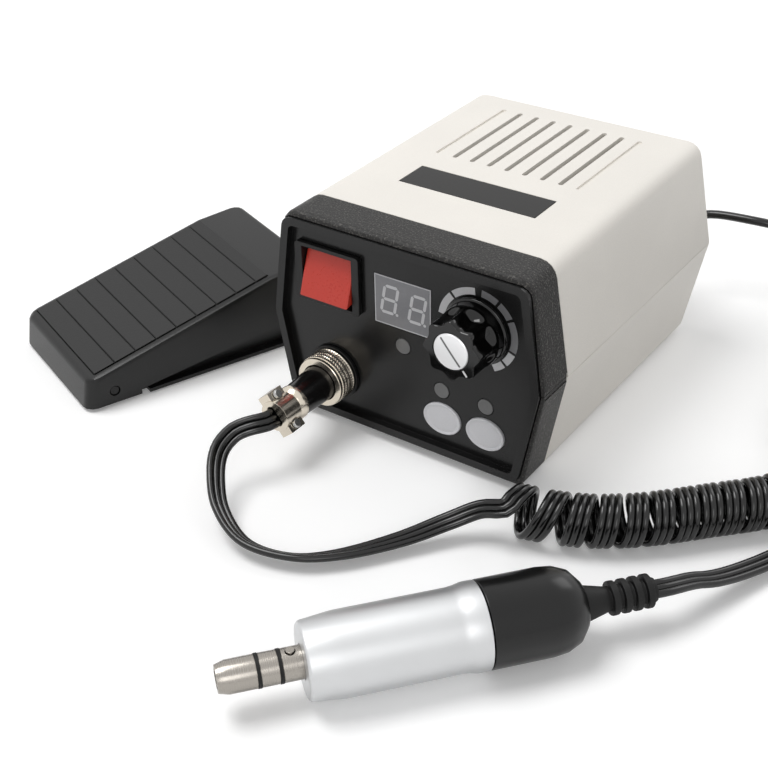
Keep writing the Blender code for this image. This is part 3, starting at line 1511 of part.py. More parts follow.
def tread_piece(frame):
    """The wedge that the foot presses, hollow below, turning about the pin at its low end."""
    origin = (0, PIVOT_Y, PIVOT_Z)
    outer = [
        (0, TREAD_FRONT_HEM),
        (TREAD_HEM_START, TREAD_FRONT_HEM),
        (TREAD_HEM_START, TREAD_HEM_LIFT),
        (PEDAL_LENGTH, TREAD_REAR_HEM),
        (PEDAL_LENGTH, PEDAL_REAR_HEIGHT),
        (PEDAL_KINK, PEDAL_KINK_HEIGHT),
        (PEDAL_RIDGE, PEDAL_FRONT_HEIGHT),
    ]
    mesh = slab("tread_outer", [outer], -PEDAL_HALF_WIDTH, PEDAL_HALF_WIDTH, PLANE_YZ)
    bm = bmesh.new()
    bm.from_mesh(mesh)
    bpy.data.meshes.remove(mesh)

    def upright(edge):
        first, second = (vert.co for vert in edge.verts)
        tall = abs(first.z - second.z) > PAD_PITCH and abs(first.x - second.x) < WELD
        return tall and (max(first.y, second.y) < PAD_START or min(first.y, second.y) > PEDAL_KINK)

    def topmost(edge):
        low = min(vert.co.z - tread_height(vert.co.y) for vert in edge.verts)
        level = abs(edge.verts[0].co.x - edge.verts[1].co.x) > PEDAL_HALF_WIDTH
        crease = level and abs(edge.verts[0].co.y - PEDAL_KINK) < WELD
        return low > -WELD and not crease

    round_end(bm, upright, PEDAL_CORNER_ROUND, EDGE_STEPS)
    bm.normal_update()
    round_end(bm, topmost, PEDAL_ROUND, CORNER_STEPS)
    bmesh.ops.recalc_face_normals(bm, faces=bm.faces)
    bmesh.ops.translate(bm, vec=(0, -PIVOT_Y, -PIVOT_Z), verts=bm.verts)
    piece = place("pedal_tread", from_bmesh("pedal_tread", bm), frame, origin, slot="pedal_black")
    wall = TREAD_WALL
    slope_drop = TREAD_SLOPE_WALL
    inner = [
        (wall, TREAD_FRONT_HEM - OVERRUN),
        (PEDAL_LENGTH - wall, TREAD_FRONT_HEM - OVERRUN),
        (PEDAL_LENGTH - wall, tread_height(PEDAL_LENGTH - wall) - slope_drop),
        (PEDAL_KINK, PEDAL_KINK_HEIGHT - slope_drop),
        (wall + PEDAL_RIDGE, tread_height(wall + PEDAL_RIDGE) - slope_drop),
    ]
    side = PEDAL_HALF_WIDTH - wall
    boolean(piece, place("cut_tread", slab("cut_tread", [inner], -side, side, PLANE_YZ), frame))
    reach = PEDAL_HALF_WIDTH + OVERRUN
    pin_hole = slab(
        "pin_hole",
        [oval(PIVOT_Y, PIVOT_Z, PIVOT_SHAFT_RADIUS + GAP, PIVOT_SHAFT_RADIUS + GAP, SMALL_STEPS)],
        -reach,
        reach,
        PLANE_YZ,
    )
    boolean(piece, place("cut_pin", pin_hole, frame))
    pad_bed = [
        (PAD_START - GAP, tread_height(PAD_START - GAP) - PAD_SUNK),
        (PEDAL_KINK, PEDAL_KINK_HEIGHT - PAD_SUNK),
        (PEDAL_KINK, PEDAL_KINK_HEIGHT + OVERRUN),
        (PAD_START - GAP, tread_height(PAD_START - GAP) + OVERRUN),
    ]
    side = PEDAL_GLAND_RADIUS + GAP + GAP
    slot = block(
        "gland_slot",
        (-side, PEDAL_LENGTH - wall - OVERRUN, TREAD_REAR_HEM - OVERRUN),
        (side, PEDAL_LENGTH + OVERRUN, PEDAL_GLAND_SLOT),
    )
    boolean(piece, place("cut_slot", slot, frame))
    side = PAD_HALF_WIDTH + GAP
    boolean(piece, place("cut_pad", slab("cut_pad", [pad_bed], -side, side, PLANE_YZ), frame))


def pad(frame):
    """The ribbed mat let into the tread."""
    end = PEDAL_KINK - GAP
    top = []
    y = PAD_START
    while y < end - PAD_GROOVE - PAD_GROOVE:
        stop = min(y + PAD_PITCH, end)
        top.append((y, 0))
        top.append((stop - PAD_GROOVE, 0))
        if stop < end:
            top.append((stop - PAD_GROOVE * HALF, -PAD_GROOVE))
        y = stop
    top.append((end, 0))
    lift = PAD_THICK - PAD_SUNK + GAP
    upper = [(y, tread_height(y) + lift + drop) for y, drop in top]
    lower = [(y, tread_height(y) - PAD_SUNK + GAP) for y in (end, PAD_START)]
    cleaned = [upper[0]]
    for point in upper[1:]:
        if point[0] - cleaned[-1][0] > WELD:
            cleaned.append(point)
    mesh = slab("pedal_pad", [cleaned + lower], -PAD_HALF_WIDTH, PAD_HALF_WIDTH, PLANE_YZ)
    place("pedal_pad", mesh, frame, slot="rubber_black")


def pedal_base(frame):
    """A shallow tray under the tread."""
    side = PEDAL_HALF_WIDTH - TREAD_WALL - BASE_ROOM
    start = TREAD_WALL + PEDAL_RIDGE + BASE_ROOM
    end = PEDAL_LENGTH - TREAD_WALL - BASE_ROOM
    outline = [
        (start, BASE_FLOOR),
        (end, BASE_FLOOR),
        (end, BASE_RIM_REAR),
        (PIVOT_Y, BASE_RIM_PIVOT),
        (start, BASE_RIM_FRONT),
    ]
    piece = place(
        "pedal_base", slab("pedal_base", [outline], -side, side, PLANE_YZ), frame,
        slot="pedal_black",
    )
    floor = BASE_FLOOR + BASE_PLATE
    hollow = [
        (start + BASE_WALL, floor),
        (end - BASE_WALL, floor),
        (end - BASE_WALL, BASE_RIM_REAR + OVERRUN),
        (start + BASE_WALL, BASE_RIM_REAR + OVERRUN),
    ]
    inner = side - BASE_WALL
    boolean(piece, place("cut_base", slab("cut_base", [hollow], -inner, inner, PLANE_YZ), frame))
    plate_start = TREAD_HEM_START + BASE_SETBACK
    plate = slab(
        "base_plate",
        [rectangle(-PEDAL_HALF_WIDTH, PEDAL_HALF_WIDTH, plate_start, PEDAL_LENGTH)],
        BASE_FLOOR,
        BASE_FLOOR + TREAD_FRONT_HEM,
    )
    boolean(piece, place("join_plate", plate, frame), "UNION")
    reach = PEDAL_HALF_WIDTH + OVERRUN
    pin_hole = slab(
        "base_pin_hole",
        [oval(PIVOT_Y, PIVOT_Z, PIVOT_SHAFT_RADIUS + GAP, PIVOT_SHAFT_RADIUS + GAP, SMALL_STEPS)],
        -reach,
        reach,
        PLANE_YZ,
    )
    boolean(piece, place("cut_base_pin", pin_hole, frame))
    gland_hole = slab(
        "gland_hole",
        [oval(0, PEDAL_GLAND_Z, PEDAL_GLAND_RADIUS + GAP, PEDAL_GLAND_RADIUS + GAP, SMALL_STEPS)],
        -PEDAL_LENGTH - OVERRUN,
        -end + BASE_WALL + OVERRUN,
        PLANE_XZ,
    )
    boolean(piece, place("cut_gland", gland_hole, frame))
    feet_mesh = []
    for x in (-PEDAL_FOOT_X, PEDAL_FOOT_X):
        for y in (PAD_START + PAD_PITCH, PEDAL_KINK + PAD_PITCH):
            top = BASE_FLOOR + TREAD_FRONT_HEM * HALF
            foot = disc("pedal_foot", PEDAL_FOOT_RADIUS, 0, top, PIN_STEPS)
            foot.transform(Matrix.Translation((x, y, 0)))
            feet_mesh.append(foot)
    boolean(piece, place("join_feet", joined_mesh("pedal_feet", feet_mesh), frame), "UNION")


def pedal_inside(frame):
    reach = PEDAL_HALF_WIDTH
    pin = [
        (0, reach - GAP),
        (PIVOT_SHAFT_RADIUS, reach - GAP),
        (PIVOT_SHAFT_RADIUS, -reach + GAP),
        (0, -reach + GAP),
    ]
    turned(
        "pedal_pin", pin, frame, (0, PIVOT_Y, PIVOT_Z), (0, QUARTER_TURN, 0), "steel", SMALL_STEPS
    )
    floor = BASE_FLOOR + BASE_PLATE + GAP
    top = tread_height(SPRING_Y) - TREAD_SLOPE_WALL - GAP
    low = floor + SPRING_WIRE
    high = top - SPRING_SEAT
    count = SPRING_TURNS * SPRING_TURN_POINTS
    points = []
    for i in range(count + 1):
        angle = FULL_TURN * i / SPRING_TURN_POINTS
        rise = low + (high - low) * i / count
        points.append(
            (SPRING_RADIUS * math.cos(angle), SPRING_Y + SPRING_RADIUS * math.sin(angle), rise)
        )
    tube("pedal_spring", points, SPRING_WIRE, frame, "spring_steel", 1)
    sensor = block(
        "pedal_sensor",
        (-SENSOR_HALF_WIDTH, SENSOR_Y - SENSOR_HALF_LENGTH, floor),
        (SENSOR_HALF_WIDTH, SENSOR_Y + SENSOR_HALF_LENGTH, floor + SENSOR_BOARD),
    )
    piece = place("pedal_sensor", sensor, frame, slot="board_green")
    chip = block(
        "sensor_chip",
        (-SENSOR_CHIP, SENSOR_Y - SENSOR_CHIP, floor + SENSOR_BOARD * HALF),
        (SENSOR_CHIP, SENSOR_Y + SENSOR_CHIP, floor + SENSOR_CHIP_HEIGHT),
    )
    boolean(piece, place("join_chip", chip, frame), "UNION")
    out = PEDAL_GLAND_LENGTH
    flange = PEDAL_GLAND_RADIUS
    gland = [
        (PEDAL_GLAND_TIP_RADIUS, out),
        (flange, 0),
        (flange, -PEDAL_GLAND_ROOT),
        (PEDAL_GLAND_BORE, -PEDAL_GLAND_ROOT),
        (PEDAL_GLAND_BORE, out),
    ]
    turned(
        "pedal_gland", gland, frame, (0, PEDAL_LENGTH - TREAD_WALL, PEDAL_GLAND_Z), FACE_REAR,
        "rubber_black", SMALL_STEPS, True,
    )


# Motor handpiece


def groove(centre, radius):
    return [
        (radius, -centre + GROOVE_HALF),
        (radius - GROOVE_DEPTH, -centre + GROOVE_HALF),
        (radius - GROOVE_DEPTH, -centre - GROOVE_HALF),
        (radius, -centre - GROOVE_HALF),
    ]


def nose(hand):
    """The coupling nose: hollow, with two ring grooves and a hole for the key on its upper side."""
    profile = [(NOSE_BORE_RADIUS, 0), (NOSE_TIP_RADIUS, 0), (NOSE_RADIUS, -NOSE_TAPER)]
    profile += groove(SEAL_FRONT, NOSE_RADIUS) + groove(SEAL_REAR, NOSE_RADIUS)
    profile += [
        (NOSE_RADIUS, -NOSE_ROOT - BODY_LIP - GAP),
        (NOSE_FLANGE_RADIUS, -NOSE_ROOT - BODY_LIP - GAP),
        (NOSE_FLANGE_RADIUS, -NOSE_FLANGE_END),
        (NOSE_RADIUS, -NOSE_FLANGE_END),
        (NOSE_RADIUS, -NOSE_END),
        (NOSE_BORE_RADIUS, -NOSE_END),
    ]
    piece = turned("motor_nose", profile, hand, (0, 0, 0), (0, 0, 0), "nose_steel", NOSE_STEPS, True)
    hole = disc("key_hole", KEY_RADIUS + GAP, NOSE_BORE_RADIUS * HALF, NOSE_RADIUS + OVERRUN, KEY_STEPS)
    aim = (0, QUARTER_TURN, 0)
    spot = (0, 0, -KEY_CENTRE)
    boolean(piece, place("cut_key", hole, hand, spot, aim))
    low = NOSE_BORE_RADIUS + KEY_TRAVEL * HALF
    key = disc("latch_key", KEY_RADIUS, low, NOSE_RADIUS + KEY_PROUD, KEY_STEPS)
    smooth(place("latch_key", key, hand, spot, aim, "nose_steel"))
    for name, centre in (("seal_front", SEAL_FRONT), ("seal_rear", SEAL_REAR)):
        inner = NOSE_RADIUS - GROOVE_DEPTH + GAP * HALF
        half = GROOVE_HALF - GAP * HALF
        ring = [
            (NOSE_RADIUS + SEAL_PROUD, -centre + half),
            (NOSE_RADIUS + SEAL_PROUD, -centre - half),
            (inner, -centre - half),
            (inner, -centre + half),
        ]
        turned(name, ring, hand, (0, 0, 0), (0, 0, 0), "rubber_black", NOSE_STEPS, True)


def motor_body(hand):
    sleeve = [
        (NOSE_RADIUS + GAP, -BODY_FRONT),
        (BODY_FRONT_RADIUS - BODY_EDGE, -BODY_FRONT),
        (BODY_FRONT_RADIUS, -BODY_FRONT - BODY_EDGE),
        (BODY_RADIUS, -BODY_FLARE),
        (BODY_RADIUS, -BODY_STEP_START),
        (BODY_STEP_RADIUS, -BODY_STEP_START - BODY_STEP_RUN),
        (TAIL_RADIUS, -BODY_STEP_END),
        (TAIL_RADIUS, -BODY_END),
        (BODY_BORE_RADIUS, -BODY_END),
        (BODY_BORE_RADIUS, -BODY_FRONT - BODY_LIP),
        (NOSE_RADIUS + GAP, -BODY_FRONT - BODY_LIP),
    ]
    turned("motor_sleeve", sleeve, hand, (0, 0, 0), (0, 0, 0), "satin_aluminium", BODY_STEPS, True)
    tail = [
        (BODY_BORE_RADIUS - BODY_LIP, -TAIL_START),
        (TAIL_RADIUS, -TAIL_START),
        (TAIL_RADIUS, -TAIL_STRAIGHT),
        (TAIL_SHOULDER_RADIUS, -TAIL_SHOULDER),
        (TAIL_DOME_RADIUS, -TAIL_DOME),
        (TAIL_END_RADIUS, -TAIL_END),
        (BOOT_ROOT_RADIUS + GAP, -TAIL_END),
        (BOOT_ROOT_RADIUS + GAP, -TAIL_BORE_END),
        (BODY_BORE_RADIUS - BODY_LIP, -TAIL_BORE_END),
    ]
    turned("motor_tail", tail, hand, (0, 0, 0), (0, 0, 0), "tail_black", BODY_STEPS, True)
    boot = [(0, -BOOT_ROOT), (BOOT_ROOT_RADIUS, -BOOT_ROOT), (BOOT_ROOT_RADIUS, -TAIL_END)]
    boot.append((BOOT_NECK_RADIUS, -BOOT_NECK))
    for i in range(BOOT_RIB_COUNT):
        start = BOOT_NECK + BOOT_TIP + i * BOOT_RIB_PITCH
        boot += [
            (BOOT_GROOVE_RADIUS, -start),
            (BOOT_RIB_RADIUS, -start),
            (BOOT_RIB_RADIUS, -start - BOOT_RIB_WIDTH),
            (BOOT_GROOVE_RADIUS, -start - BOOT_RIB_WIDTH),
        ]
    end = BOOT_NECK + BOOT_TIP + BOOT_RIB_COUNT * BOOT_RIB_PITCH
    boot += [(BOOT_GROOVE_RADIUS, -end), (0, -end)]
    turned("cord_boot", boot, hand, (0, 0, 0), (0, 0, 0), "rubber_black", BOOT_STEPS)


def motor_inside(hand):
    rotor = [
        (0, -ROTOR_DOG_START),
        (ROTOR_DOG_RADIUS, -ROTOR_DOG_START),
        (ROTOR_DOG_RADIUS, -ROTOR_DOG_END),
        (ROTOR_SHAFT_RADIUS, -ROTOR_DOG_END),
        (ROTOR_SHAFT_RADIUS, -ROTOR_START),
        (ROTOR_RADIUS, -ROTOR_START),
        (ROTOR_RADIUS, -ROTOR_END),
        (ROTOR_SHAFT_RADIUS, -ROTOR_END),
        (ROTOR_SHAFT_RADIUS, -ROTOR_TAIL_END),
        (0, -ROTOR_TAIL_END),
    ]
    piece = turned("motor_rotor", rotor, hand, (0, 0, 0), (0, 0, 0), "steel", SMALL_STEPS)
    slot = block(
        "dog_slot",
        (-DOG_SLOT_REACH, -ROTOR_SHAFT_RADIUS * HALF, -ROTOR_DOG_START - FUSE_SLOT),
        (DOG_SLOT_REACH, ROTOR_SHAFT_RADIUS * HALF, OVERRUN),
    )
    boolean(piece, place("cut_dog", slot, hand))
    outer = BODY_BORE_RADIUS - GAP
    stator = [
        (outer, -STATOR_START),
        (outer, -STATOR_END),
        (STATOR_BORE_RADIUS, -STATOR_END),
        (STATOR_BORE_RADIUS, -STATOR_START),
    ]
    turned("motor_stator", stator, hand, (0, 0, 0), (0, 0, 0), "winding_copper", BOOT_STEPS, True)


# Cords


def coil_axis():
    """Dense points, tangents and sideways vectors along the coil's axis, with its wind phase."""
    path = smooth_path(COIL_ROUTE, PATH_STEP)
    tangent = unit(np.gradient(path, axis=0))
    up = np.array([0, 0, 1.0])
    side = unit(np.cross(tangent, up))
    turn = np.linalg.norm(np.gradient(tangent, axis=0), axis=1) / PATH_STEP
    window = np.ones(COIL_BEND_POINTS + 1 + COIL_BEND_POINTS)
    padded = np.pad(turn, COIL_BEND_POINTS, mode="edge")
    bend = np.convolve(padded, window / len(window), mode="valid")
    pitch = np.maximum(COIL_PITCH, COIL_SPACING / (1 - np.minimum(bend * COIL_INNER_REACH, HALF)))
    length = np.arange(len(path)) * PATH_STEP
    fade = eased(np.minimum(length, length[-1] - length) / COIL_FADE)
    rate = FULL_TURN / pitch * (COIL_LOOSE_SHARE + (1 - COIL_LOOSE_SHARE) * fade)
    phase = COIL_START_PHASE + np.concatenate([[0], np.cumsum(rate[:-1])]) * PATH_STEP
    extra = COIL_END_PHASE - COIL_START_PHASE
    whole = round((phase[-1] - phase[0] - extra) / FULL_TURN) * FULL_TURN
    phase = phase[0] + (phase - phase[0]) * (whole + extra) / (phase[-1] - phase[0])
    lean = COIL_LEAN * (1 - eased(length / COIL_LEAN_FADE)) * (np.sin(phase) - 1)
    return path + tangent * lean[:, None], tangent, side, phase


def curly_points():
    """Centres, outward vectors and tangents of the curly cord, a few to a curl."""
    path, tangent, side, phase = coil_axis()
    up = np.array([0, 0, 1.0])
    outward = side * np.cos(phase)[:, None] + up * np.sin(phase)[:, None]
    centre = path + outward * COIL_RADIUS
    along = np.concatenate([[0], np.cumsum(np.linalg.norm(np.diff(centre, axis=0), axis=1))])
    step = FULL_TURN * COIL_RADIUS / COIL_TURN_POINTS
    count = round(along[-1] / step)
    wanted = np.linspace(0, along[-1], count + 1)
    ahead = np.gradient(centre, axis=0, edge_order=2)
    pick, aim, course = (
        np.column_stack([np.interp(wanted, along, table[:, k]) for k in range(3)])
        for table in (centre, outward, ahead)
    )
    curls = round((phase[-1] - phase[0]) / FULL_TURN, 2)
    wound = round(along[-1] * MILLIMETRES)
    covered = round((len(path) - 1) * PATH_STEP * MILLIMETRES)
    print("curly cord:", curls, "curls,", wound, "mm of cord in", covered, "mm")
    return pick, unit(aim), unit(course)


def frames_along(centres, outward, tangent=None):
    """Outward vectors made square to the path, and the vectors across the ribbon."""
    if tangent is None:
        tangent = unit(np.gradient(centres, axis=0))
    outward = outward - tangent * np.sum(outward * tangent, axis=1, keepdims=True)
    outward = unit(outward)
    return unit(np.cross(tangent, outward)), outward


def lead_points(route, aims):
    """Points of a flat stretch whose outward side turns from one direction to the next."""
    centres = smooth_path(route, LEAD_STEP)
    spot = np.linspace(0, len(aims) - 1, len(centres))
    first = np.minimum(spot.astype(int), len(aims) - 2)
    share = eased(spot - first)[:, None]
    table = np.array([tuple(aim) for aim in aims])
    return centres, unit((1 - share) * table[first] + share * table[first + 1])


def motor_cord(frame):
    """The flat cord from the plug, wound into the curly coil, then on to the handpiece."""
    curl, curl_out, course = curly_points()
    rings = ribbon_rings(curl, *frames_along(curl, curl_out, course))
    print("curly cord: least gap to itself", round(least_gap(rings, COIL_NEAR_RINGS) * MILLIMETRES, 2), "mm")
    swept("cord_coil", rings, frame, "cord_black")
    plug_side = (math.cos(CLAMP_TILT + QUARTER_TURN), 0, math.sin(CLAMP_TILT + QUARTER_TURN))
    joint = curl[0] - course[0] * GAP
    before = joint - course[0] * LEAD_STEP
    route = list(LEAD_ROUTE) + [tuple(before), tuple(joint)]
    centres, out = lead_points(route, (plug_side, LEAD_BANK, curl_out[0]))
    rings = ribbon_rings(centres, *frames_along(centres, out))
    swept("cord_lead_front", rings, frame, "cord_black")
    joint = curl[-1] + course[-1] * GAP
    after = joint + course[-1] * LEAD_STEP
    tip = boot_tip()
    back = Vector((math.cos(HAND_TURN), math.sin(HAND_TURN), 0))
    near = tip + back * GAP
    last = [tuple(near + back * LEAD_STEP), tuple(near)]
    route = [tuple(joint), tuple(after)] + list(HAND_ROUTE) + last
    centres, out = lead_points(route, (curl_out[-1], (0, 0, -1)))
    rings = ribbon_rings(centres, *frames_along(centres, out))
    swept("cord_lead_hand", rings, frame, "cord_black")


def boot_tip():
    reach = BOOT_NECK + BOOT_TIP + BOOT_RIB_COUNT * BOOT_RIB_PITCH
    return Vector(
        (
            HAND_X + reach * math.cos(HAND_TURN),
            HAND_Y + reach * math.sin(HAND_TURN),
            TAIL_RADIUS,
        )
    )


def mains_ring_points():
    """The put-away coil: layers of turns wound out and in, then a straight end for the plug."""
    columns = [
        RING_TURN_RADIUS + (k - (RING_COLUMNS - 1) * HALF) * RING_SPACING
        for k in range(RING_COLUMNS)
    ]
    radii = []
    heights = []
    for layer in range(RING_LAYERS):
        order = columns[::-1] if layer % 2 == 0 else columns
        radii += order
        heights += [MAINS_RADIUS + GAP + layer * RING_SPACING] * RING_COLUMNS
    radii.append(RING_EXIT_RADIUS)
    heights.append(heights[-1])
    start = -QUARTER_TURN
    points = []
    last = RING_LAYERS * RING_COLUMNS * RING_TURN_POINTS
    for i in range(last + RING_EXIT_POINTS + 1):
        turn, spot = divmod(i, RING_TURN_POINTS)
        radius, height = radii[turn], heights[turn]
        late = spot + RING_EASE_POINTS - RING_TURN_POINTS
        if late > 0 and turn + 1 < len(radii):
            share = eased(late / RING_EASE_POINTS)
            side = math.copysign(HALF, radius - RING_TURN_RADIUS)
            if heights[turn + 1] > height:
                radius += RING_SPACING * side * math.sin(math.pi * share)
            radius += (radii[turn + 1] - radii[turn]) * share
            height += (heights[turn + 1] - height) * share
        beyond = i - last - RING_EASE_POINTS
        if beyond > 0:
            share = eased(beyond / (RING_EXIT_POINTS - RING_EASE_POINTS))
            height += (MAINS_PLUG_Z - height) * share
        angle = start + FULL_TURN * i / RING_TURN_POINTS
        points.append(
            (
                RING_MIDDLE_X + radius * math.cos(angle),
                RING_MIDDLE_Y + radius * math.sin(angle),
                height,
            )
        )
    end = points[-1]
    points.append((end[0] - MAINS_TAIL, end[1], end[2]))
    return np.array(points)


def mains(frame):
    ring = mains_ring_points()
    first = ring[0] - np.array([MAINS_TAIL, 0, 0])
    ring = np.vstack([first, ring])
    length = np.linalg.norm(np.diff(ring, axis=0), axis=1).sum()
    apart = np.inf
    for i in range(len(ring) - RING_NEAR_POINTS):
        others = ring[i + RING_NEAR_POINTS :]
        apart = min(apart, np.linalg.norm(others - ring[i], axis=1).min())
    print(
        "mains coil:", round(length * MILLIMETRES), "mm of cord, least gap to itself",
        round((apart - MAINS_RADIUS - MAINS_RADIUS) * MILLIMETRES, 2), "mm",
    )
    tube("mains_coil", ring, MAINS_RADIUS, frame, "cord_black", 1)
    joint = ring[0] - np.array([GAP, 0, 0])
    route = list(MAINS_ROUTE) + [
        tuple(joint - np.array([MAINS_STEP, 0, 0])),
        tuple(joint),
    ]
    tube("mains_lead", smooth_path(route, MAINS_STEP), MAINS_RADIUS, frame, "cord_black")
    end = ring[-1]
    face = end[0] - GAP
    neck_end = face - MAINS_NECK_LENGTH
    body_end = neck_end - MAINS_PLUG_LENGTH
    body = block(
        "mains_plug",
        (body_end, end[1] - MAINS_PLUG_HALF_WIDTH, end[2] - MAINS_PLUG_HALF_HEIGHT),
        (neck_end, end[1] + MAINS_PLUG_HALF_WIDTH, end[2] + MAINS_PLUG_HALF_HEIGHT),
        MAINS_PLUG_ROUND,
    )
    piece = place("mains_plug", body, frame, slot="rubber_black")
    neck = disc(
        "plug_neck",
        MAINS_NECK_RADIUS,
        -MAINS_NECK_LENGTH * HALF,
        MAINS_NECK_LENGTH,
        KEY_STEPS,
        MAINS_NECK_TIP_RADIUS,
    )
    aim = (0, QUARTER_TURN, 0)
    boolean(piece, place("join_neck", neck, frame, (neck_end, end[1], end[2]), aim), "UNION")
    pins = []
    for side in (-1, 1):
        pin = disc("pin", PIN_RADIUS, -PIN_LENGTH, PIN_ROOT, PIN_STEPS)
        pin.transform(Matrix.Rotation(QUARTER_TURN, 4, "Y"))
        pin.transform(Matrix.Translation((body_end, end[1] + side * PIN_HALF_SPACING, end[2])))
        pins.append(pin)
    boolean(piece, place("join_pins", joined_mesh("pins", pins), frame), "UNION")


def main():
    clear_scene()
    frame = place("set_frame", None, None, (-SET_MIDDLE_X, -SET_MIDDLE_Y, 0))
    housing(frame)
    name_plate(frame)
    feet(frame)
    panel(frame)
    switch(frame)
    display(frame)
    knob(frame)
    buttons(frame)
    lamps(frame)
    board(frame)
    connector(frame)
    transformer(frame)
    rear_fittings(frame)
    pedal = place("pedal_frame", None, frame, (PEDAL_X, PEDAL_Y, 0), (0, 0, PEDAL_TURN))
    tread_piece(pedal)
    pad(pedal)
    pedal_base(pedal)
    pedal_inside(pedal)
    hand = place(
        "hand_frame", None, frame, (HAND_X, HAND_Y, TAIL_RADIUS), (0, -QUARTER_TURN, HAND_TURN)
    )
    nose(hand)
    motor_body(hand)
    motor_inside(hand)
    motor_cord(frame)
    mains(frame)


main()
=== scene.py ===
import math

import bmesh
import bpy
import numpy as np
from bpy.props import FloatProperty, FloatVectorProperty, IntProperty, PointerProperty
from mathutils import Matrix, Vector


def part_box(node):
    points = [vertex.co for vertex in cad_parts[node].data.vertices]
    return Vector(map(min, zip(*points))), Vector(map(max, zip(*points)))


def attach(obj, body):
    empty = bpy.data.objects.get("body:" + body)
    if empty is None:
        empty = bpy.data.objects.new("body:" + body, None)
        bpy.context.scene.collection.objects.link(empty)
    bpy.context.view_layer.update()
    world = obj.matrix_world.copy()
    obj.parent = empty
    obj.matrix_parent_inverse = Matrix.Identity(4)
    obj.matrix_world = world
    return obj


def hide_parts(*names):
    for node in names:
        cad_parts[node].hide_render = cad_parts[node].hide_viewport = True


bl_info = {
    "name": "Bench micromotor set",
    "version": (1, 0, 0),
    "blender": (4, 5, 0),
    "location": "View3D > Sidebar > Micromotor",
    "description": "A control box, foot pedal and motor handpiece with their cords",
    "category": "Add Mesh",
}

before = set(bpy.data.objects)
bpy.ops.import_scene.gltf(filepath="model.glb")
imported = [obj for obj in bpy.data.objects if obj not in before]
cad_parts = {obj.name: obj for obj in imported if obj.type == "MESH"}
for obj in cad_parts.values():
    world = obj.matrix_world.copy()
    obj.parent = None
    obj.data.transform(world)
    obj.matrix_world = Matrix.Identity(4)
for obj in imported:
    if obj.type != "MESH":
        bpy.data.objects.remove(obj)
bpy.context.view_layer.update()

# Where the control box's own origin stands in the set
BOX_ORIGIN = Vector((0.0274, -0.0085, 0.0))

# Small amounts used all over
WELD = 0.00001
SKIN = 0.00003
HALF = 0.5
QUARTER_TURN = math.pi / 2
FULL_TURN = 2 * math.pi
SMOOTH_ANGLE = math.radians(35)
FLAT_ANGLE = math.radians(0.6)
EDGE_ANGLE = math.radians(38)
SHARED_STEPS = 96
FINE_STEPS = 240


def tone(code):
    """The linear colour of a six-digit web colour."""
    parts = [int(code[i : i + 2], 16) / 255 for i in (0, 2, 4)]
    return tuple(c / 12.92 if c <= 0.04045 else ((c + 0.055) / 1.055) ** 2.4 for c in parts)


# Sizes and colours a user may change


def metres(name, description, default):
    return FloatProperty(name=name, description=description, default=default, unit="LENGTH", precision=5)


def watts(name, description, default):
    return FloatProperty(name=name, description=description, default=default, unit="POWER")


def paint(name, description, code):
    return FloatVectorProperty(
        name=name, description=description, default=tone(code), subtype="COLOR", min=0.0, max=1.0
    )


class BenchColours(bpy.types.PropertyGroup):
    shell: paint("Shell", "Moulded housing of the control box", "EAE6DF")
    bezel: paint("Bezel", "Grained frame round the front panel", "1D1C1B")
    panel: paint("Panel", "Smooth front panel", "141414")
    plate: paint("Name plate", "Bare plate on the top", "161514")
    window: paint("Display window", "Pane over the digits", "7A7A7D")
    digits: paint("Digits", "Unlit segments of the display", "B9B9BB")
    rocker: paint("Rocker", "Mains switch rocker", "BE3527")
    knob: paint("Knob", "Gloss knob", "060606")
    button: paint("Buttons", "Push button faces", "CFCFD2")
    lamp: paint("Lamps", "Unlit lamp lenses", "5A5A5A")
    pedal: paint("Pedal", "Satin pedal top", "121212")
    rubber: paint("Rubber", "Feet, boot and plug", "0C0C0C")
    cord: paint("Cords", "Gloss cord jacket", "050505")
    sleeve: paint("Handpiece sleeve", "Satin metal sleeve", "CFD0D1")
    nickel: paint("Nickel", "Plated connector parts", "D8CFC0")
    floor: paint("Floor", "Studio floor", "FAFAFA")


class CordSizes(bpy.types.PropertyGroup):
    strand_radius: metres("Strand radius", "One of the three strands of the motor cord", 0.0013)
    strand_pitch: metres("Strand pitch", "Distance between two strands", 0.0025)
    curl_radius: metres("Curl radius", "Curls of the motor cord, to the cord's middle", 0.0084)
    curl_height: metres("Curl axis height", "Height of the coil's axis above the floor", 0.0100)
    curl_pitch: metres("Curl pitch", "Distance between two curls", 0.0083)
    mains_radius: metres("Mains cord radius", "Round mains cord", 0.0019)
    bundle_radius: metres("Bundle radius", "Middle turn of the wound-up mains cord", 0.0220)


class KnobSizes(bpy.types.PropertyGroup):
    grip_radius: metres("Grip radius", "Speed knob over its lobes", 0.0117)
    flute_depth: metres("Flute depth", "Depth of the hollows between the lobes", 0.0018)
    lobes: IntProperty(name="Lobes", description="Lobes round the speed knob", default=8, min=3, max=20)


class StageSizes(bpy.types.PropertyGroup):
    key_power: watts("Key lamp", "Large lamp above", 14.0)
    fill_power: watts("Fill lamp", "Lamp beside the camera", 4.0)
    rim_power: watts("Rim lamp", "Lamp behind the set", 4.0)
    world_level: FloatProperty(name="Sky level", description="Plain light from all round", default=0.42)


def settings():
    return bpy.context.scene.bench_set


class BenchSettings(bpy.types.PropertyGroup):
    colours: PointerProperty(type=BenchColours)
    cords: PointerProperty(type=CordSizes)
    knob: PointerProperty(type=KnobSizes)
    stage: PointerProperty(type=StageSizes)


# Shader expressions


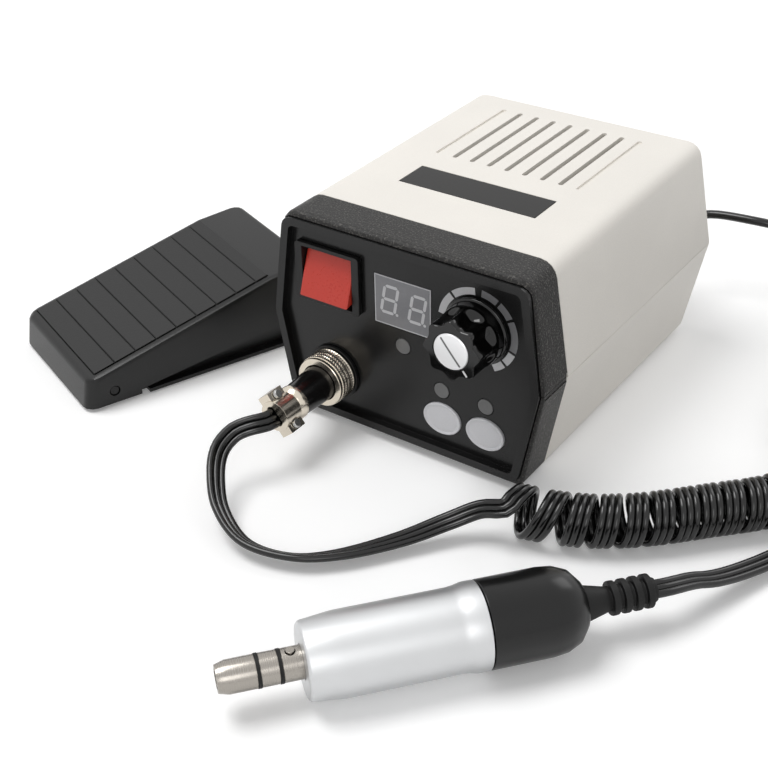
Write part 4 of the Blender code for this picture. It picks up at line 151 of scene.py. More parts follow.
class Wire:
    """One shader value that can stand in sums, products and comparisons."""

    def __init__(self, finish, socket):
        self.finish = finish
        self.socket = socket

    def __add__(self, other):
        return self.finish.maths("ADD", self, other)

    def __sub__(self, other):
        return self.finish.maths("SUBTRACT", self, other)

    def __rsub__(self, other):
        return self.finish.maths("SUBTRACT", other, self)

    def __mul__(self, other):
        return self.finish.maths("MULTIPLY", self, other)

    def __pow__(self, other):
        return self.finish.maths("POWER", self, other)

    def __lt__(self, other):
        return self.finish.maths("LESS_THAN", self, other)

    def __abs__(self):
        return self.finish.maths("ABSOLUTE", self)

    __radd__ = __add__
    __rmul__ = __mul__


# The kinds of ray by which a surface shows itself
SEEN_RAYS = ("Camera", "Glossy", "Transmission")


class Board:
    """A node tree whose nodes are written as expressions."""

    def __init__(self, tree):
        self.tree = tree
        tree.nodes.clear()

    def feed(self, socket, value):
        if isinstance(value, Wire):
            self.tree.links.new(value.socket, socket)
        else:
            socket.default_value = value

    def node(self, kind, options, values, out=0):
        made = self.tree.nodes.new(kind)
        for key, value in options.items():
            setattr(made, key, value)
        for key, value in values.items():
            self.feed(made.inputs[key], value)
        return Wire(self, made.outputs[out]) if out is not None else None

    def maths(self, operation, *values):
        return self.node("ShaderNodeMath", {"operation": operation}, dict(enumerate(values)))

    def seen(self):
        """1 for what shows itself to the camera, straight, in a gloss or through glass."""
        rays = [self.node("ShaderNodeLightPath", {}, {}, f"Is {kind} Ray") for kind in SEEN_RAYS]
        return self.maths("MINIMUM", rays[0] + rays[1] + rays[2], 1.0)


class Finish(Board):
    """A surface's material."""

    def __init__(self, name):
        self.material = bpy.data.materials.new(name)
        self.material.use_nodes = True
        super().__init__(self.material.node_tree)
        out = self.tree.nodes.new("ShaderNodeOutputMaterial")
        self.shader = self.tree.nodes.new("ShaderNodeBsdfPrincipled")
        self.tree.links.new(self.shader.outputs["BSDF"], out.inputs["Surface"])
        self.spot = self.node("ShaderNodeTexCoord", {}, {}, "Object")

    def noise(self, scale, detail=2.0):
        values = {"Vector": self.spot, "Scale": scale, "Detail": detail}
        return self.node("ShaderNodeTexNoise", {}, values)

    def rings(self, reach, scale):
        """Fine rings that follow one another along a reach."""
        values = {"W": reach, "Scale": scale, "Detail": 2.0}
        return self.node("ShaderNodeTexNoise", {"noise_dimensions": "1D"}, values)

    def along(self, direction):
        """Distance along a direction, in metres."""
        values = {0: self.spot, 1: tuple(direction)}
        return self.node("ShaderNodeVectorMath", {"operation": "DOT_PRODUCT"}, values, "Value")

    def span(self, value, low, high, start=0.0, end=1.0):
        values = {"Value": value, "From Min": low, "From Max": high, "To Min": start, "To Max": end}
        return self.node("ShaderNodeMapRange", {"interpolation_type": "SMOOTHSTEP"}, values)

    def blend(self, share, first, second):
        values = {0: share, 6: full(first), 7: full(second)}
        return self.node("ShaderNodeMix", {"data_type": "RGBA"}, values, 2)

    def bumped(self, height, depth):
        values = {"Height": height, "Strength": 1.0, "Distance": depth}
        self.feed(self.shader.inputs["Normal"], self.node("ShaderNodeBump", {}, values))

    def set(self, **values):
        for key, value in values.items():
            self.feed(self.shader.inputs[key.replace("_", " ")], full(value))


def full(colour):
    """A colour with its fourth value; anything else is left as it is."""
    if isinstance(colour, (Wire, int, float)):
        return colour
    return tuple(colour)[:3] + (1.0,)


def shade(colour, share):
    return tuple(part * share for part in tuple(colour)[:3])


# Faint clouding of moulded faces: its scale and detail, and where the noise turns from dark to light
CLOUD_SCALE, CLOUD_DETAIL = 22.0, 3.0
CLOUD_SPAN = (0.35, 0.65)
GRAIN_SPAN = (0.40, 0.75)
GRAIN_SHARE = 0.10
GRAIN_SHADE = 1.5
COAT_ROUGH = 0.08


def plastic(name, colour, rough=0.45, grain=0.00006, grain_scale=1600.0, mottle=0.06, coat=0.0, gloss=0.5):
    """Moulded plastic: fine grain, faint clouding and uneven gloss."""
    finish = Finish(name)
    finish.set(Specular_IOR_Level=gloss)
    cloud = finish.noise(CLOUD_SCALE, CLOUD_DETAIL)
    fine = finish.noise(grain_scale, CLOUD_DETAIL)
    patch = finish.span(cloud, *CLOUD_SPAN)
    base = finish.blend(patch, shade(colour, 1 - mottle), shade(colour, 1 + mottle * HALF))
    speck_and_highlight = finish.span(fine, *GRAIN_SPAN, 0.0, GRAIN_SHARE)
    finish.set(Base_Color=finish.blend(speck_and_highlight, base, shade(colour, GRAIN_SHADE)))
    finish.set(Roughness=rough + (cloud - HALF) * 0.10 + (fine - HALF) * 0.08)
    if coat:
        finish.set(Coat_Weight=coat, Coat_Roughness=COAT_ROUGH)
    finish.bumped(fine, grain)
    return finish.material


PEBBLE_SCALE = 1500.0
PEBBLE_DEPTH = 0.00030
PEBBLE_GLOSS = 0.30
# Where the grain's crests rise, and how much painted highlight colour they take
CREST_SPAN = (0.52, 0.70)
CREST_HIGHLIGHT_SHARE = 0.7
PEBBLE_CLOUD_SCALE = 18.0


def pebbled(name, colour, speck_and_highlight):
    """Moulded leather grain whose crests catch the light; their lighter colour is a painted highlight."""
    finish = Finish(name)
    cloud = finish.noise(PEBBLE_CLOUD_SCALE, CLOUD_DETAIL)
    pebble = finish.noise(PEBBLE_SCALE)
    crest = finish.span(pebble, *CREST_SPAN)
    base = finish.blend(finish.span(cloud, *CLOUD_SPAN), shade(colour, 0.85), shade(colour, 1.15))
    # Painted highlight: the crests are blended towards the lighter colour
    finish.set(Base_Color=finish.blend(crest * CREST_HIGHLIGHT_SHARE, base, speck_and_highlight), Specular_IOR_Level=PEBBLE_GLOSS)
    finish.set(Roughness=0.46 + (cloud - HALF) * 0.10 - crest * 0.12)
    finish.bumped(pebble, PEBBLE_DEPTH)
    return finish.material


LATHE_SCALE = 6000.0
LATHE_DEPTH = 0.000010


def turned_metal(name, colour, axis, rough):
    """Metal with the faint rings of the lathe along its axis."""
    finish = Finish(name)
    rings = finish.rings(finish.along(axis), LATHE_SCALE)
    cloud = finish.noise(60.0, 2.0)
    finish.set(Base_Color=finish.blend(cloud, shade(colour, 0.94), colour), Metallic=1.0)
    finish.set(Roughness=rough + (rings - HALF) * 0.16 + (cloud - HALF) * 0.06)
    finish.bumped(rings, LATHE_DEPTH)
    return finish.material


def cord_jacket(name, colour):
    finish = Finish(name)
    fine = finish.noise(420.0, 2.0)
    cloud = finish.noise(40.0, 2.0)
    finish.set(Base_Color=finish.blend(cloud, shade(colour, 0.8), shade(colour, 1.4)))
    finish.set(Roughness=0.16 + fine * 0.10, Specular_IOR_Level=0.5)
    finish.bumped(fine, 0.00004)
    return finish.material


FINISHES = {}
FACE_AXIS = (0.0, 1.0, 0.0)
HAND_TURN = math.radians(50)
HAND_AXIS = (math.cos(HAND_TURN), math.sin(HAND_TURN), 0.0)


def finishes():
    """Every finish by name, made once."""
    if FINISHES:
        return FINISHES
    c = settings().colours
    made = {
        "shell_white": plastic("shell_white", c.shell, 0.46, 0.00003, 2600.0, 0.02, gloss=0.35),
        # The lighter second colour is the painted highlight on the grain's crests
        "bezel_black": pebbled("bezel_black", c.bezel, tone("5A5753")),
        "panel_black": plastic("panel_black", c.panel, 0.24, 0.00001, 900.0, 0.10, gloss=0.30),
        "plate_dark": plastic("plate_dark", c.plate, 0.34, 0.00002, 2200.0, 0.10, gloss=0.25),
        "window_grey": plastic("window_grey", c.window, 0.16, 0.000004, 700.0, 0.04, gloss=0.35),
        "module_grey": plastic("module_grey", tone("6A6A6A"), 0.5),
        "switch_black": plastic("switch_black", tone("101010"), 0.36, 0.00003, 1800.0, 0.10, gloss=0.30),
        "rocker_red": plastic("rocker_red", c.rocker, 0.30, 0.000004, 1200.0, 0.03),
        "knob_black": plastic("knob_black", c.knob, 0.10, 0.000003, 500.0, 0.10, gloss=0.45),
        "cap_silver": spun_cap("cap_silver"),
        "steel": turned_metal("steel", tone("B4B4B2"), FACE_AXIS, 0.30),
        "button_grey": plastic("button_grey", c.button, 0.42, 0.00002, 2000.0, 0.03),
        "lamp_grey": plastic("lamp_grey", c.lamp, 0.20, 0.000005, 900.0, 0.08, 0.3),
        "board_green": plastic("board_green", tone("1F5A38"), 0.35, 0.00003, 700.0, 0.10),
        "nickel": turned_metal("nickel", c.nickel, FACE_AXIS, 0.20),
        "plug_black": plastic("plug_black", tone("0C0B0B"), 0.20, 0.00001, 1500.0, 0.10, gloss=0.45),
        "transformer": plastic("transformer", tone("8A7B55"), 0.45, 0.00006, 500.0, 0.15),
        "rubber_black": plastic("rubber_black", c.rubber, 0.55, 0.00005, 1700.0, 0.12, gloss=0.30),
        "pedal_black": plastic("pedal_black", c.pedal, 0.34, 0.00003, 1900.0, 0.12, gloss=0.35),
        "pad_black": plastic("pad_black", shade(c.pedal, 1.1), 0.46, 0.00005, 1400.0, 0.12, gloss=0.35),
        "spring_steel": turned_metal("spring_steel", tone("9A9A98"), (0.0, 0.0, 1.0), 0.28),
        "satin_aluminium": turned_metal("satin_aluminium", c.sleeve, HAND_AXIS, 0.42),
        "tail_black": plastic("tail_black", tone("070707"), 0.24, 0.000004, 1500.0, 0.08, gloss=0.40),
        "nose_steel": turned_metal("nose_steel", tone("A39E97"), HAND_AXIS, 0.26),
        "winding_copper": turned_metal("winding_copper", tone("B0673A"), HAND_AXIS, 0.35),
        "cord_black": cord_jacket("cord_black", c.cord),
        "digit_grey": plastic("digit_grey", c.digits, 0.30, 0.000003, 900.0, 0.04),
        "scale_light": plastic("scale_light", tone("BCBCBE"), 0.40, 0.000003, 900.0, 0.04),
        "scale_mid": plastic("scale_mid", tone("6E6E70"), 0.40, 0.000003, 900.0, 0.04),
        "mark_white": plastic("mark_white", tone("DADADA"), 0.45, 0.000003, 900.0, 0.03),
    }
    FINISHES.update(made)
    return FINISHES


# The speed knob's place on the panel, and where its groove points; the groove is a line of painted shade on
# the cap
KNOB_X, KNOB_Z = 0.0313, 0.0620
POINTER_TURN = math.radians(-50)
GROOVE_SHADE_WIDTH = 0.0007
GROOVE_SHADE_REACH = 0.0062
SPIN_SCALE = 5200.0
SPIN_DEPTH = 0.000006


def spun_cap(name):
    """Bright cap with spun rings and one groove across it, painted as a dark line of shade."""
    finish = Finish(name)
    middle = BOX_ORIGIN + Vector((KNOB_X, 0, KNOB_Z))
    across = finish.along((1.0, 0.0, 0.0)) - middle.x
    upward = finish.along((0.0, 0.0, 1.0)) - middle.z
    reach = (across * across + upward * upward) ** HALF
    rings = finish.rings(reach, SPIN_SCALE)
    line = abs(across * math.sin(POINTER_TURN) - upward * math.cos(POINTER_TURN))
    # Painted shade: the groove is only a darker, less metallic line in the colour
    groove_shade = finish.span(line, 0.0, GROOVE_SHADE_WIDTH, 1.0, 0.0) * (reach < GROOVE_SHADE_REACH)
    finish.set(Base_Color=finish.blend(groove_shade, tone("EDEDEE"), tone("2A2A2A")), Metallic=1.0 - groove_shade * 0.4)
    finish.set(Roughness=0.34 + (rings - HALF) * 0.20)
    finish.bumped(rings, SPIN_DEPTH)
    return finish.material


# Mesh helpers


def shown(name, bm, body, *materials, smooth=SMOOTH_ANGLE):
    """Turns a bmesh into a finished piece that rides on a body."""
    mesh = bpy.data.meshes.new(name)
    bm.to_mesh(mesh)
    bm.free()
    for material in materials:
        mesh.materials.append(finishes()[material])
    mesh.shade_smooth()
    mesh.set_sharp_from_angle(angle=smooth)
    piece = bpy.data.objects.new(name, mesh)
    bpy.context.scene.collection.objects.link(piece)
    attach(piece, body)
    return piece


def dressed(name, node, body, material, edge=0.0):
    """A copy of a CAD node with its seams merged, its edges eased and smooth shading."""
    bm = bmesh.new()
    bm.from_mesh(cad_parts[node].data)
    bmesh.ops.remove_doubles(bm, verts=bm.verts, dist=WELD)
    bmesh.ops.dissolve_limit(
        bm, angle_limit=FLAT_ANGLE, verts=bm.verts, edges=bm.edges, use_dissolve_boundaries=False
    )
    if edge:
        bm.normal_update()
        sharp = [e for e in bm.edges if len(e.link_faces) == 2 and e.calc_face_angle() > EDGE_ANGLE]
        bmesh.ops.bevel(
            bm, geom=sharp, offset=edge, segments=2, profile=0.5, affect="EDGES", material=-1,
            clamp_overlap=True,
        )
    piece = shown(name, bm, body, material)
    fair = piece.modifiers.new("fair", "WEIGHTED_NORMAL")
    fair.keep_sharp = True
    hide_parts(node)
    return piece


def slot_of(node):
    """The material slot that the frame gives to a CAD node."""
    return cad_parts[node].active_material.name.split(".")[0]


def turned(bm, profile, place, steps=SHARED_STEPS):
    """A profile of (radius, height) pairs turned about the place's Z axis, with closed poles."""
    spun = bmesh.new()
    verts = [spun.verts.new((radius, 0, height)) for radius, height in profile]
    edges = [spun.edges.new(pair) for pair in zip(verts, verts[1:])]
    bmesh.ops.spin(
        spun, geom=verts + edges, cent=(0, 0, 0), axis=(0, 0, 1), angle=FULL_TURN, steps=steps, use_merge=True
    )
    bmesh.ops.remove_doubles(spun, verts=spun.verts, dist=WELD)
    bmesh.ops.transform(spun, matrix=place, verts=spun.verts)
    bmesh.ops.recalc_face_normals(spun, faces=spun.faces)
    mesh = bpy.data.meshes.new("turned")
    spun.to_mesh(mesh)
    spun.free()
    bm.from_mesh(mesh)
    bpy.data.meshes.remove(mesh)


def facing(x, y, z):
    """A place on the box whose Z axis points out of the front."""
    spot = BOX_ORIGIN + Vector((x, y, z))
    return Matrix.Translation(spot) @ Matrix.Rotation(QUARTER_TURN, 4, "X")


def flat_shape(bm, corners, place, thick, material=0):
    """A thin flat plate with the given corners, its face at the place's height zero."""
    verts = [bm.verts.new((x, y, 0)) for x, y in corners]
    face = bm.faces.new(verts)
    grown = bmesh.ops.extrude_face_region(bm, geom=[face])
    lifted = [item for item in grown["geom"] if isinstance(item, bmesh.types.BMVert)]
    bmesh.ops.translate(bm, vec=(0, 0, thick), verts=lifted)
    faces = list({f for vert in verts + lifted for f in vert.link_faces})
    for item in faces:
        item.material_index = material
    bmesh.ops.recalc_face_normals(bm, faces=faces)
    bmesh.ops.transform(bm, matrix=place, verts=verts + lifted)


# Cord routes, the same as the frame's


def unit(vectors):
    return vectors / np.linalg.norm(vectors, axis=-1, keepdims=True)


def eased(share):
    share = np.clip(share, 0, 1)
    return share * share * (3 - 2 * share)


def smooth_path(points, step):
    """Points a step apart on a smooth curve through the given ones."""
    knots = [Vector(p) for p in points]
    dense = []
    for i in range(len(knots) - 1):
        before = knots[max(i - 1, 0)]
        after = knots[min(i + 2, len(knots) - 1)]
        start, end = knots[i], knots[i + 1]
        pull_start = (end - before) * HALF
        pull_end = (after - start) * HALF
        count = max(2, int((end - start).length / PATH_STEP))
        for k in range(count):
            t = k / count
            dense.append(
                start * (2 * t**3 - 3 * t**2 + 1)
                + pull_start * (t**3 - 2 * t**2 + t)
                + end * (3 * t**2 - 2 * t**3)
                + pull_end * (t**3 - t**2)
            )
    dense.append(knots[-1])
    table = np.array(dense)
    lengths = np.concatenate([[0], np.cumsum(np.linalg.norm(np.diff(table, axis=0), axis=1))])
    count = max(2, round(lengths[-1] / step))
    wanted = np.linspace(0, lengths[-1], count + 1)
    return np.column_stack([np.interp(wanted, lengths, table[:, k]) for k in range(3)])


PATH_STEP = 0.0005
CURL_SPACING = 0.0082
CURL_INNER_REACH = 0.0100
CURL_FADE = 0.0140
CURL_LOOSE_SHARE = 0.5
CURL_LEAN = 0.0045
CURL_LEAN_FADE = 0.0200
CURL_BEND_POINTS = 20
CURL_START_PHASE = math.radians(65)
CURL_END_PHASE = math.radians(270)
CURL_STEP = 0.0019
LEAD_STEP = 0.0025
CLAMP_TILT = math.radians(-50)
LEAD_BANK = (0, 0.63, 0.78)
LEAD_ROUTE = (
    (-0.0325, -0.0329, 0.0227),
    (-0.0325, -0.0388, 0.0227),
    (-0.0341, -0.0424, 0.0228),
    (-0.0376, -0.0464, 0.0222),
    (-0.0409, -0.0510, 0.0204),
    (-0.0405, -0.0589, 0.0178),
    (-0.0352, -0.0676, 0.0142),
    (-0.0258, -0.0764, 0.0086),
    (-0.0102, -0.0825, 0.0050),
    (0.0072, -0.0793, 0.0043),
    (0.0207, -0.0688, 0.0043),
    (0.0339, -0.0518, 0.0052),
    (0.0445, -0.0372, 0.0082),
    (0.0530, -0.0300, 0.0124),
)
CURL_ROUTE = (
    (0.0625, -0.0205),
    (0.0760, -0.0167),
    (0.0895, -0.0100),
    (0.1025, 0.0000),
    (0.1170, 0.0148),
    (0.1335, 0.0325),
    (0.1425, 0.0480),
    (0.1440, 0.0655),
    (0.1380, 0.0810),
    (0.1265, 0.0915),
    (0.1190, 0.1040),
    (0.1230, 0.1200),
    (0.1370, 0.1310),
    (0.1545, 0.1320),
    (0.1700, 0.1240),
    (0.1800, 0.1080),
    (0.1840, 0.0890),
    (0.1840, 0.0690),
    (0.1800, 0.0480),
)
HAND_ROUTE = (
    (0.1655, 0.0445, 0.0022),
    (0.1577, 0.0365, 0.0030),
    (0.1518, 0.0260, 0.0040),
    (0.1466, 0.0150, 0.0046),
    (0.1420, 0.0045, 0.0052),
    (0.1373, -0.0065, 0.0068),
    (0.1333, -0.0155, 0.0091),
    (0.1293, -0.0228, 0.0117),
)
MAINS_ROUTE = (
    (0.0330, 0.1648, 0.0345),
    (0.0330, 0.1690, 0.0346),
    (0.0352, 0.1750, 0.0352),
    (0.0400, 0.1792, 0.0361),
    (0.0465, 0.1808, 0.0370),
    (0.0540, 0.1809, 0.0377),
    (0.0620, 0.1812, 0.0380),
    (0.0696, 0.1823, 0.0380),
    (0.0790, 0.1870, 0.0350),
    (0.0880, 0.1860, 0.0270),
    (0.0965, 0.1800, 0.0160),
    (0.1045, 0.1735, 0.0070),
    (0.1115, 0.1692, 0.0030),
)
MAINS_STEP = 0.0080
BUNDLE_X, BUNDLE_Y = 0.1400, 0.1930
BUNDLE_SPACING = 0.0046
BUNDLE_COLUMNS = 3
BUNDLE_LAYERS = 4
BUNDLE_TURN_POINTS = 24
BUNDLE_EASE_POINTS = 4
BUNDLE_EXIT_POINTS = 12
BUNDLE_EXIT_RADIUS = 0.0360
BUNDLE_GAP = 0.0003
MAINS_PLUG_Z = 0.0080
MAINS_TAIL = 0.0140

# The handpiece's nose tip, the height of its axis, and the way from the tip to the boot's end
HAND_X, HAND_Y = 0.0310, -0.1446
TAIL_RADIUS = 0.0143
BOOT_REACH = 0.1413


def curl_points():
    """Centres, outward vectors and courses of the curly stretch, and its first point's own."""
    sizes = settings().cords
    route = [(x, y, sizes.curl_height) for x, y in CURL_ROUTE]
    path = smooth_path(route, PATH_STEP)
    tangent = unit(np.gradient(path, axis=0))
    up = np.array([0, 0, 1.0])
    side = unit(np.cross(tangent, up))
    turn = np.linalg.norm(np.gradient(tangent, axis=0), axis=1) / PATH_STEP
    window = np.ones(2 * CURL_BEND_POINTS + 1)
    padded = np.pad(turn, CURL_BEND_POINTS, mode="edge")
    bend = np.convolve(padded, window / len(window), mode="valid")
    pitch = np.maximum(sizes.curl_pitch, CURL_SPACING / (1 - np.minimum(bend * CURL_INNER_REACH, HALF)))
    length = np.arange(len(path)) * PATH_STEP
    fade = eased(np.minimum(length, length[-1] - length) / CURL_FADE)
    rate = FULL_TURN / pitch * (CURL_LOOSE_SHARE + (1 - CURL_LOOSE_SHARE) * fade)
    phase = CURL_START_PHASE + np.concatenate([[0], np.cumsum(rate[:-1])]) * PATH_STEP
    extra = CURL_END_PHASE - CURL_START_PHASE
    whole = round((phase[-1] - phase[0] - extra) / FULL_TURN) * FULL_TURN
    phase = phase[0] + (phase - phase[0]) * (whole + extra) / (phase[-1] - phase[0])
    lean = CURL_LEAN * (1 - eased(length / CURL_LEAN_FADE)) * (np.sin(phase) - 1)
    outward = side * np.cos(phase)[:, None] + up * np.sin(phase)[:, None]
    centre = path + tangent * lean[:, None] + outward * sizes.curl_radius
    reach = np.concatenate([[0], np.cumsum(np.linalg.norm(np.diff(centre, axis=0), axis=1))])
    wanted = np.linspace(0, reach[-1], round(reach[-1] / CURL_STEP) + 1)
    course = np.gradient(centre, axis=0, edge_order=2)
    tables = (centre, outward, course)
    pick = [np.column_stack([np.interp(wanted, reach, t[:, k]) for k in range(3)]) for t in tables]
    return pick[0], unit(pick[1]), unit(pick[2])


def lead_points(route, aims):
    """Points of a flat stretch whose outward side turns from one direction to the next."""
    centres = smooth_path(route, LEAD_STEP)
    spot = np.linspace(0, len(aims) - 1, len(centres))
    first = np.minimum(spot.astype(int), len(aims) - 2)
    share = eased(spot - first)[:, None]
    table = np.array([tuple(aim) for aim in aims])
    return centres, unit((1 - share) * table[first] + share * table[first + 1])


def motor_cord_points():
    """The whole flat cord from the plug to the handpiece: centres and outward vectors."""
    curl, curl_out, course = curl_points()
    plug_side = (math.cos(CLAMP_TILT + QUARTER_TURN), 0, math.sin(CLAMP_TILT + QUARTER_TURN))
    before = [tuple(curl[0] - course[0] * LEAD_STEP * 2), tuple(curl[0])]
    front, front_out = lead_points(list(LEAD_ROUTE) + before, (plug_side, LEAD_BANK, curl_out[0]))
    back = Vector(HAND_AXIS)
    tip = Vector((HAND_X, HAND_Y, TAIL_RADIUS)) + back * BOOT_REACH
    after = [tuple(curl[-1]), tuple(curl[-1] + course[-1] * LEAD_STEP * 2)]
    last = [tuple(tip + back * LEAD_STEP * 2), tuple(tip)]
    rear, rear_out = lead_points(after + list(HAND_ROUTE) + last, (curl_out[-1], (0, 0, -1)))
    centres = np.vstack([front[:-1], curl, rear[1:]])
    outward = np.vstack([front_out[:-1], curl_out, rear_out[1:]])
    return centres, outward


def mains_points():
    """The mains cord from its strain relief through the wound-up bundle to the plug."""
    sizes = settings().cords
    middle = (BUNDLE_COLUMNS - 1) * HALF
    columns = [sizes.bundle_radius + (k - middle) * BUNDLE_SPACING for k in range(BUNDLE_COLUMNS)]
    radii, heights = [], []
    for layer in range(BUNDLE_LAYERS):
        radii += columns[::-1] if layer % 2 == 0 else columns
        heights += [sizes.mains_radius + BUNDLE_GAP + layer * BUNDLE_SPACING] * BUNDLE_COLUMNS
    radii.append(BUNDLE_EXIT_RADIUS)
    heights.append(heights[-1])
    points = []
    last = BUNDLE_LAYERS * BUNDLE_COLUMNS * BUNDLE_TURN_POINTS
    for i in range(last + BUNDLE_EXIT_POINTS + 1):
        turn, spot = divmod(i, BUNDLE_TURN_POINTS)
        radius, height = radii[turn], heights[turn]
        late = spot + BUNDLE_EASE_POINTS - BUNDLE_TURN_POINTS
        if late > 0 and turn + 1 < len(radii):
            share = eased(late / BUNDLE_EASE_POINTS)
            side = math.copysign(HALF, radius - sizes.bundle_radius)
            if heights[turn + 1] > height:
                radius += BUNDLE_SPACING * side * math.sin(math.pi * share)
            radius += (radii[turn + 1] - radii[turn]) * share
            height += (heights[turn + 1] - height) * share
        beyond = i - last - BUNDLE_EASE_POINTS
        if beyond > 0:
            share = eased(beyond / (BUNDLE_EXIT_POINTS - BUNDLE_EASE_POINTS))
            height += (MAINS_PLUG_Z - height) * share
        angle = -QUARTER_TURN + FULL_TURN * i / BUNDLE_TURN_POINTS
        points.append((BUNDLE_X + radius * math.cos(angle), BUNDLE_Y + radius * math.sin(angle), height))
    points.append((points[-1][0] - MAINS_TAIL, points[-1][1], points[-1][2]))
    ring = np.vstack([np.array(points[0]) - np.array([MAINS_TAIL, 0, 0]), np.array(points)])
    joint = ring[0] - np.array([BUNDLE_GAP, 0, 0])
    route = list(MAINS_ROUTE) + [tuple(joint - np.array([MAINS_STEP, 0, 0])), tuple(joint)]
    return np.vstack([smooth_path(route, MAINS_STEP), ring])


# Points along a strand's outer arc and along its short middle arcs
STRAND_OUTER_STEPS, STRAND_MIDDLE_STEPS = 11, 6


def strand_section():
    """Outline of three round strands side by side, as offsets across and outward."""
    sizes = settings().cords
    radius, pitch = sizes.strand_radius, sizes.strand_pitch
    meet = math.acos(pitch * HALF / radius)
    spans = (
        (pitch, -math.pi + meet, math.pi - meet, STRAND_OUTER_STEPS),
        (0, meet, math.pi - meet, STRAND_MIDDLE_STEPS),
        (-pitch, meet, FULL_TURN - meet, STRAND_OUTER_STEPS),
        (0, math.pi + meet, FULL_TURN - meet, STRAND_MIDDLE_STEPS),
    )
    outline = []
    for middle, start, end, count in spans:
        for k in range(count):
            angle = start + (end - start) * k / count
            outline.append((middle + radius * math.cos(angle), radius * math.sin(angle)))
    return outline


CORD_SMOOTH = math.radians(60)
GRID_DIGITS = 6


def swept(name, rings, body, material):
    """A grid laid over the rings, sewn along its seam and closed at both ends."""
    count, around = rings.shape[:2]
    bm = bmesh.new()
    bmesh.ops.create_grid(bm, x_segments=count - 1, y_segments=around, size=1.0)
    order = sorted(bm.verts, key=lambda v: (round(v.co.x, GRID_DIGITS), round(v.co.y, GRID_DIGITS)))
    for index, vert in enumerate(order):
        vert.co = rings[index // (around + 1), index % (around + 1) % around]
    bmesh.ops.remove_doubles(bm, verts=bm.verts, dist=WELD)
    bmesh.ops.holes_fill(bm, edges=bm.edges, sides=0)
    bmesh.ops.recalc_face_normals(bm, faces=bm.faces)
    return shown(name, bm, body, material, smooth=CORD_SMOOTH)


class Step:
    """What every operator of the set shares."""

    bl_options = {"REGISTER", "UNDO"}

    def execute(self, context):
        self.build()
        return {"FINISHED"}


# The photograph's camera, solved on the control box
CAMERA_TURN, CAMERA_TIP, CAMERA_ROLL = math.radians(35.51), math.radians(33.21), math.radians(-1.25)
CAMERA_TARGET = Vector((-0.02246, 0.01990, 0.01006))
CAMERA_DISTANCE = 0.54871
CAMERA_LENS, CAMERA_SENSOR = 64.29, 36.0
LAMP_AIM = Vector((0, 0, 0.03))
FLOOR_HALF = 4.0
FLOOR_CELLS = 8
FLOOR_LIFT = 0.14


class BENCH_OT_stage(Step, bpy.types.Operator):
    """Floor, lamps, world and camera"""

    bl_idname = "bench.stage"
    bl_label = "Stage"

    def build(self):
        self.camera()
        self.floor()
        self.world()
        self.lamps()
        bpy.context.scene.view_settings.view_transform = "Standard"

    def camera(self):
        turn, tip, roll = CAMERA_TURN, CAMERA_TIP, CAMERA_ROLL
        ahead = Vector((-math.sin(turn) * math.cos(tip), math.cos(turn) * math.cos(tip), -math.sin(tip)))
        spot = BOX_ORIGIN + CAMERA_TARGET - ahead * CAMERA_DISTANCE
        right = ahead.cross(Vector((0, 0, 1))).normalized()
        up = right.cross(ahead)
        right, up = math.cos(roll) * right + math.sin(roll) * up, math.cos(roll) * up - math.sin(roll) * right
        data = bpy.data.cameras.new("camera")
        data.lens = CAMERA_LENS
        data.sensor_width = CAMERA_SENSOR
        camera = bpy.data.objects.new("camera", data)
        facing_back = Matrix((right, up, -ahead)).transposed()
        camera.matrix_world = Matrix.Translation(spot) @ facing_back.to_4x4()
        bpy.context.scene.collection.objects.link(camera)
        bpy.context.scene.camera = camera

    def floor(self):
        bm = bmesh.new()
        bmesh.ops.create_grid(bm, x_segments=FLOOR_CELLS, y_segments=FLOOR_CELLS, size=FLOOR_HALF)
        mesh = bpy.data.meshes.new("floor")
        bm.to_mesh(mesh)
        bm.free()
        finish = Finish("floor_white")
        cloud = finish.noise(3.0, 2.0)
        colour = settings().colours.floor
        finish.set(Base_Color=finish.blend(cloud, shade(colour, 0.99), colour), Roughness=0.9)
        finish.set(Specular_IOR_Level=0.1, Emission_Strength=1.0)
        lift = finish.seen() * FLOOR_LIFT
        finish.set(Emission_Color=finish.blend(lift, (0.0, 0.0, 0.0), (1.0, 1.0, 1.0)))
        mesh.materials.append(finish.material)
        piece = bpy.data.objects.new("floor", mesh)
        bpy.context.scene.collection.objects.link(piece)

    def world(self):
        world = bpy.data.worlds.new("studio")
        world.use_nodes = True
        board = Board(world.node_tree)
        level = settings().stage.world_level
        strength = level + board.seen() * (1.0 - level)
        glow = board.node("ShaderNodeBackground", {}, {"Color": (1.0, 1.0, 1.0, 1.0), "Strength": strength})
        board.node("ShaderNodeOutputWorld", {}, {"Surface": glow}, None)
        bpy.context.scene.world = world

    def lamps(self):
        stage = settings().stage
        spots = (
            ("key", (-0.55, -0.25, 1.5), 0.8, stage.key_power),
            ("fill", (0.9, -1.2, 0.9), 0.7, stage.fill_power),
            ("rim", (0.3, 1.3, 1.1), 0.8, stage.rim_power),
        )
        for name, spot, size, power in spots:
            data = bpy.data.lights.new(name, "AREA")
            data.shape = "SQUARE"
            data.size = size
            data.energy = power
            lamp = bpy.data.objects.new(name, data)
            aim = LAMP_AIM - Vector(spot)
            lamp.matrix_world = Matrix.Translation(spot) @ aim.to_track_quat("-Z", "Y").to_matrix().to_4x4()
            bpy.context.scene.collection.objects.link(lamp)


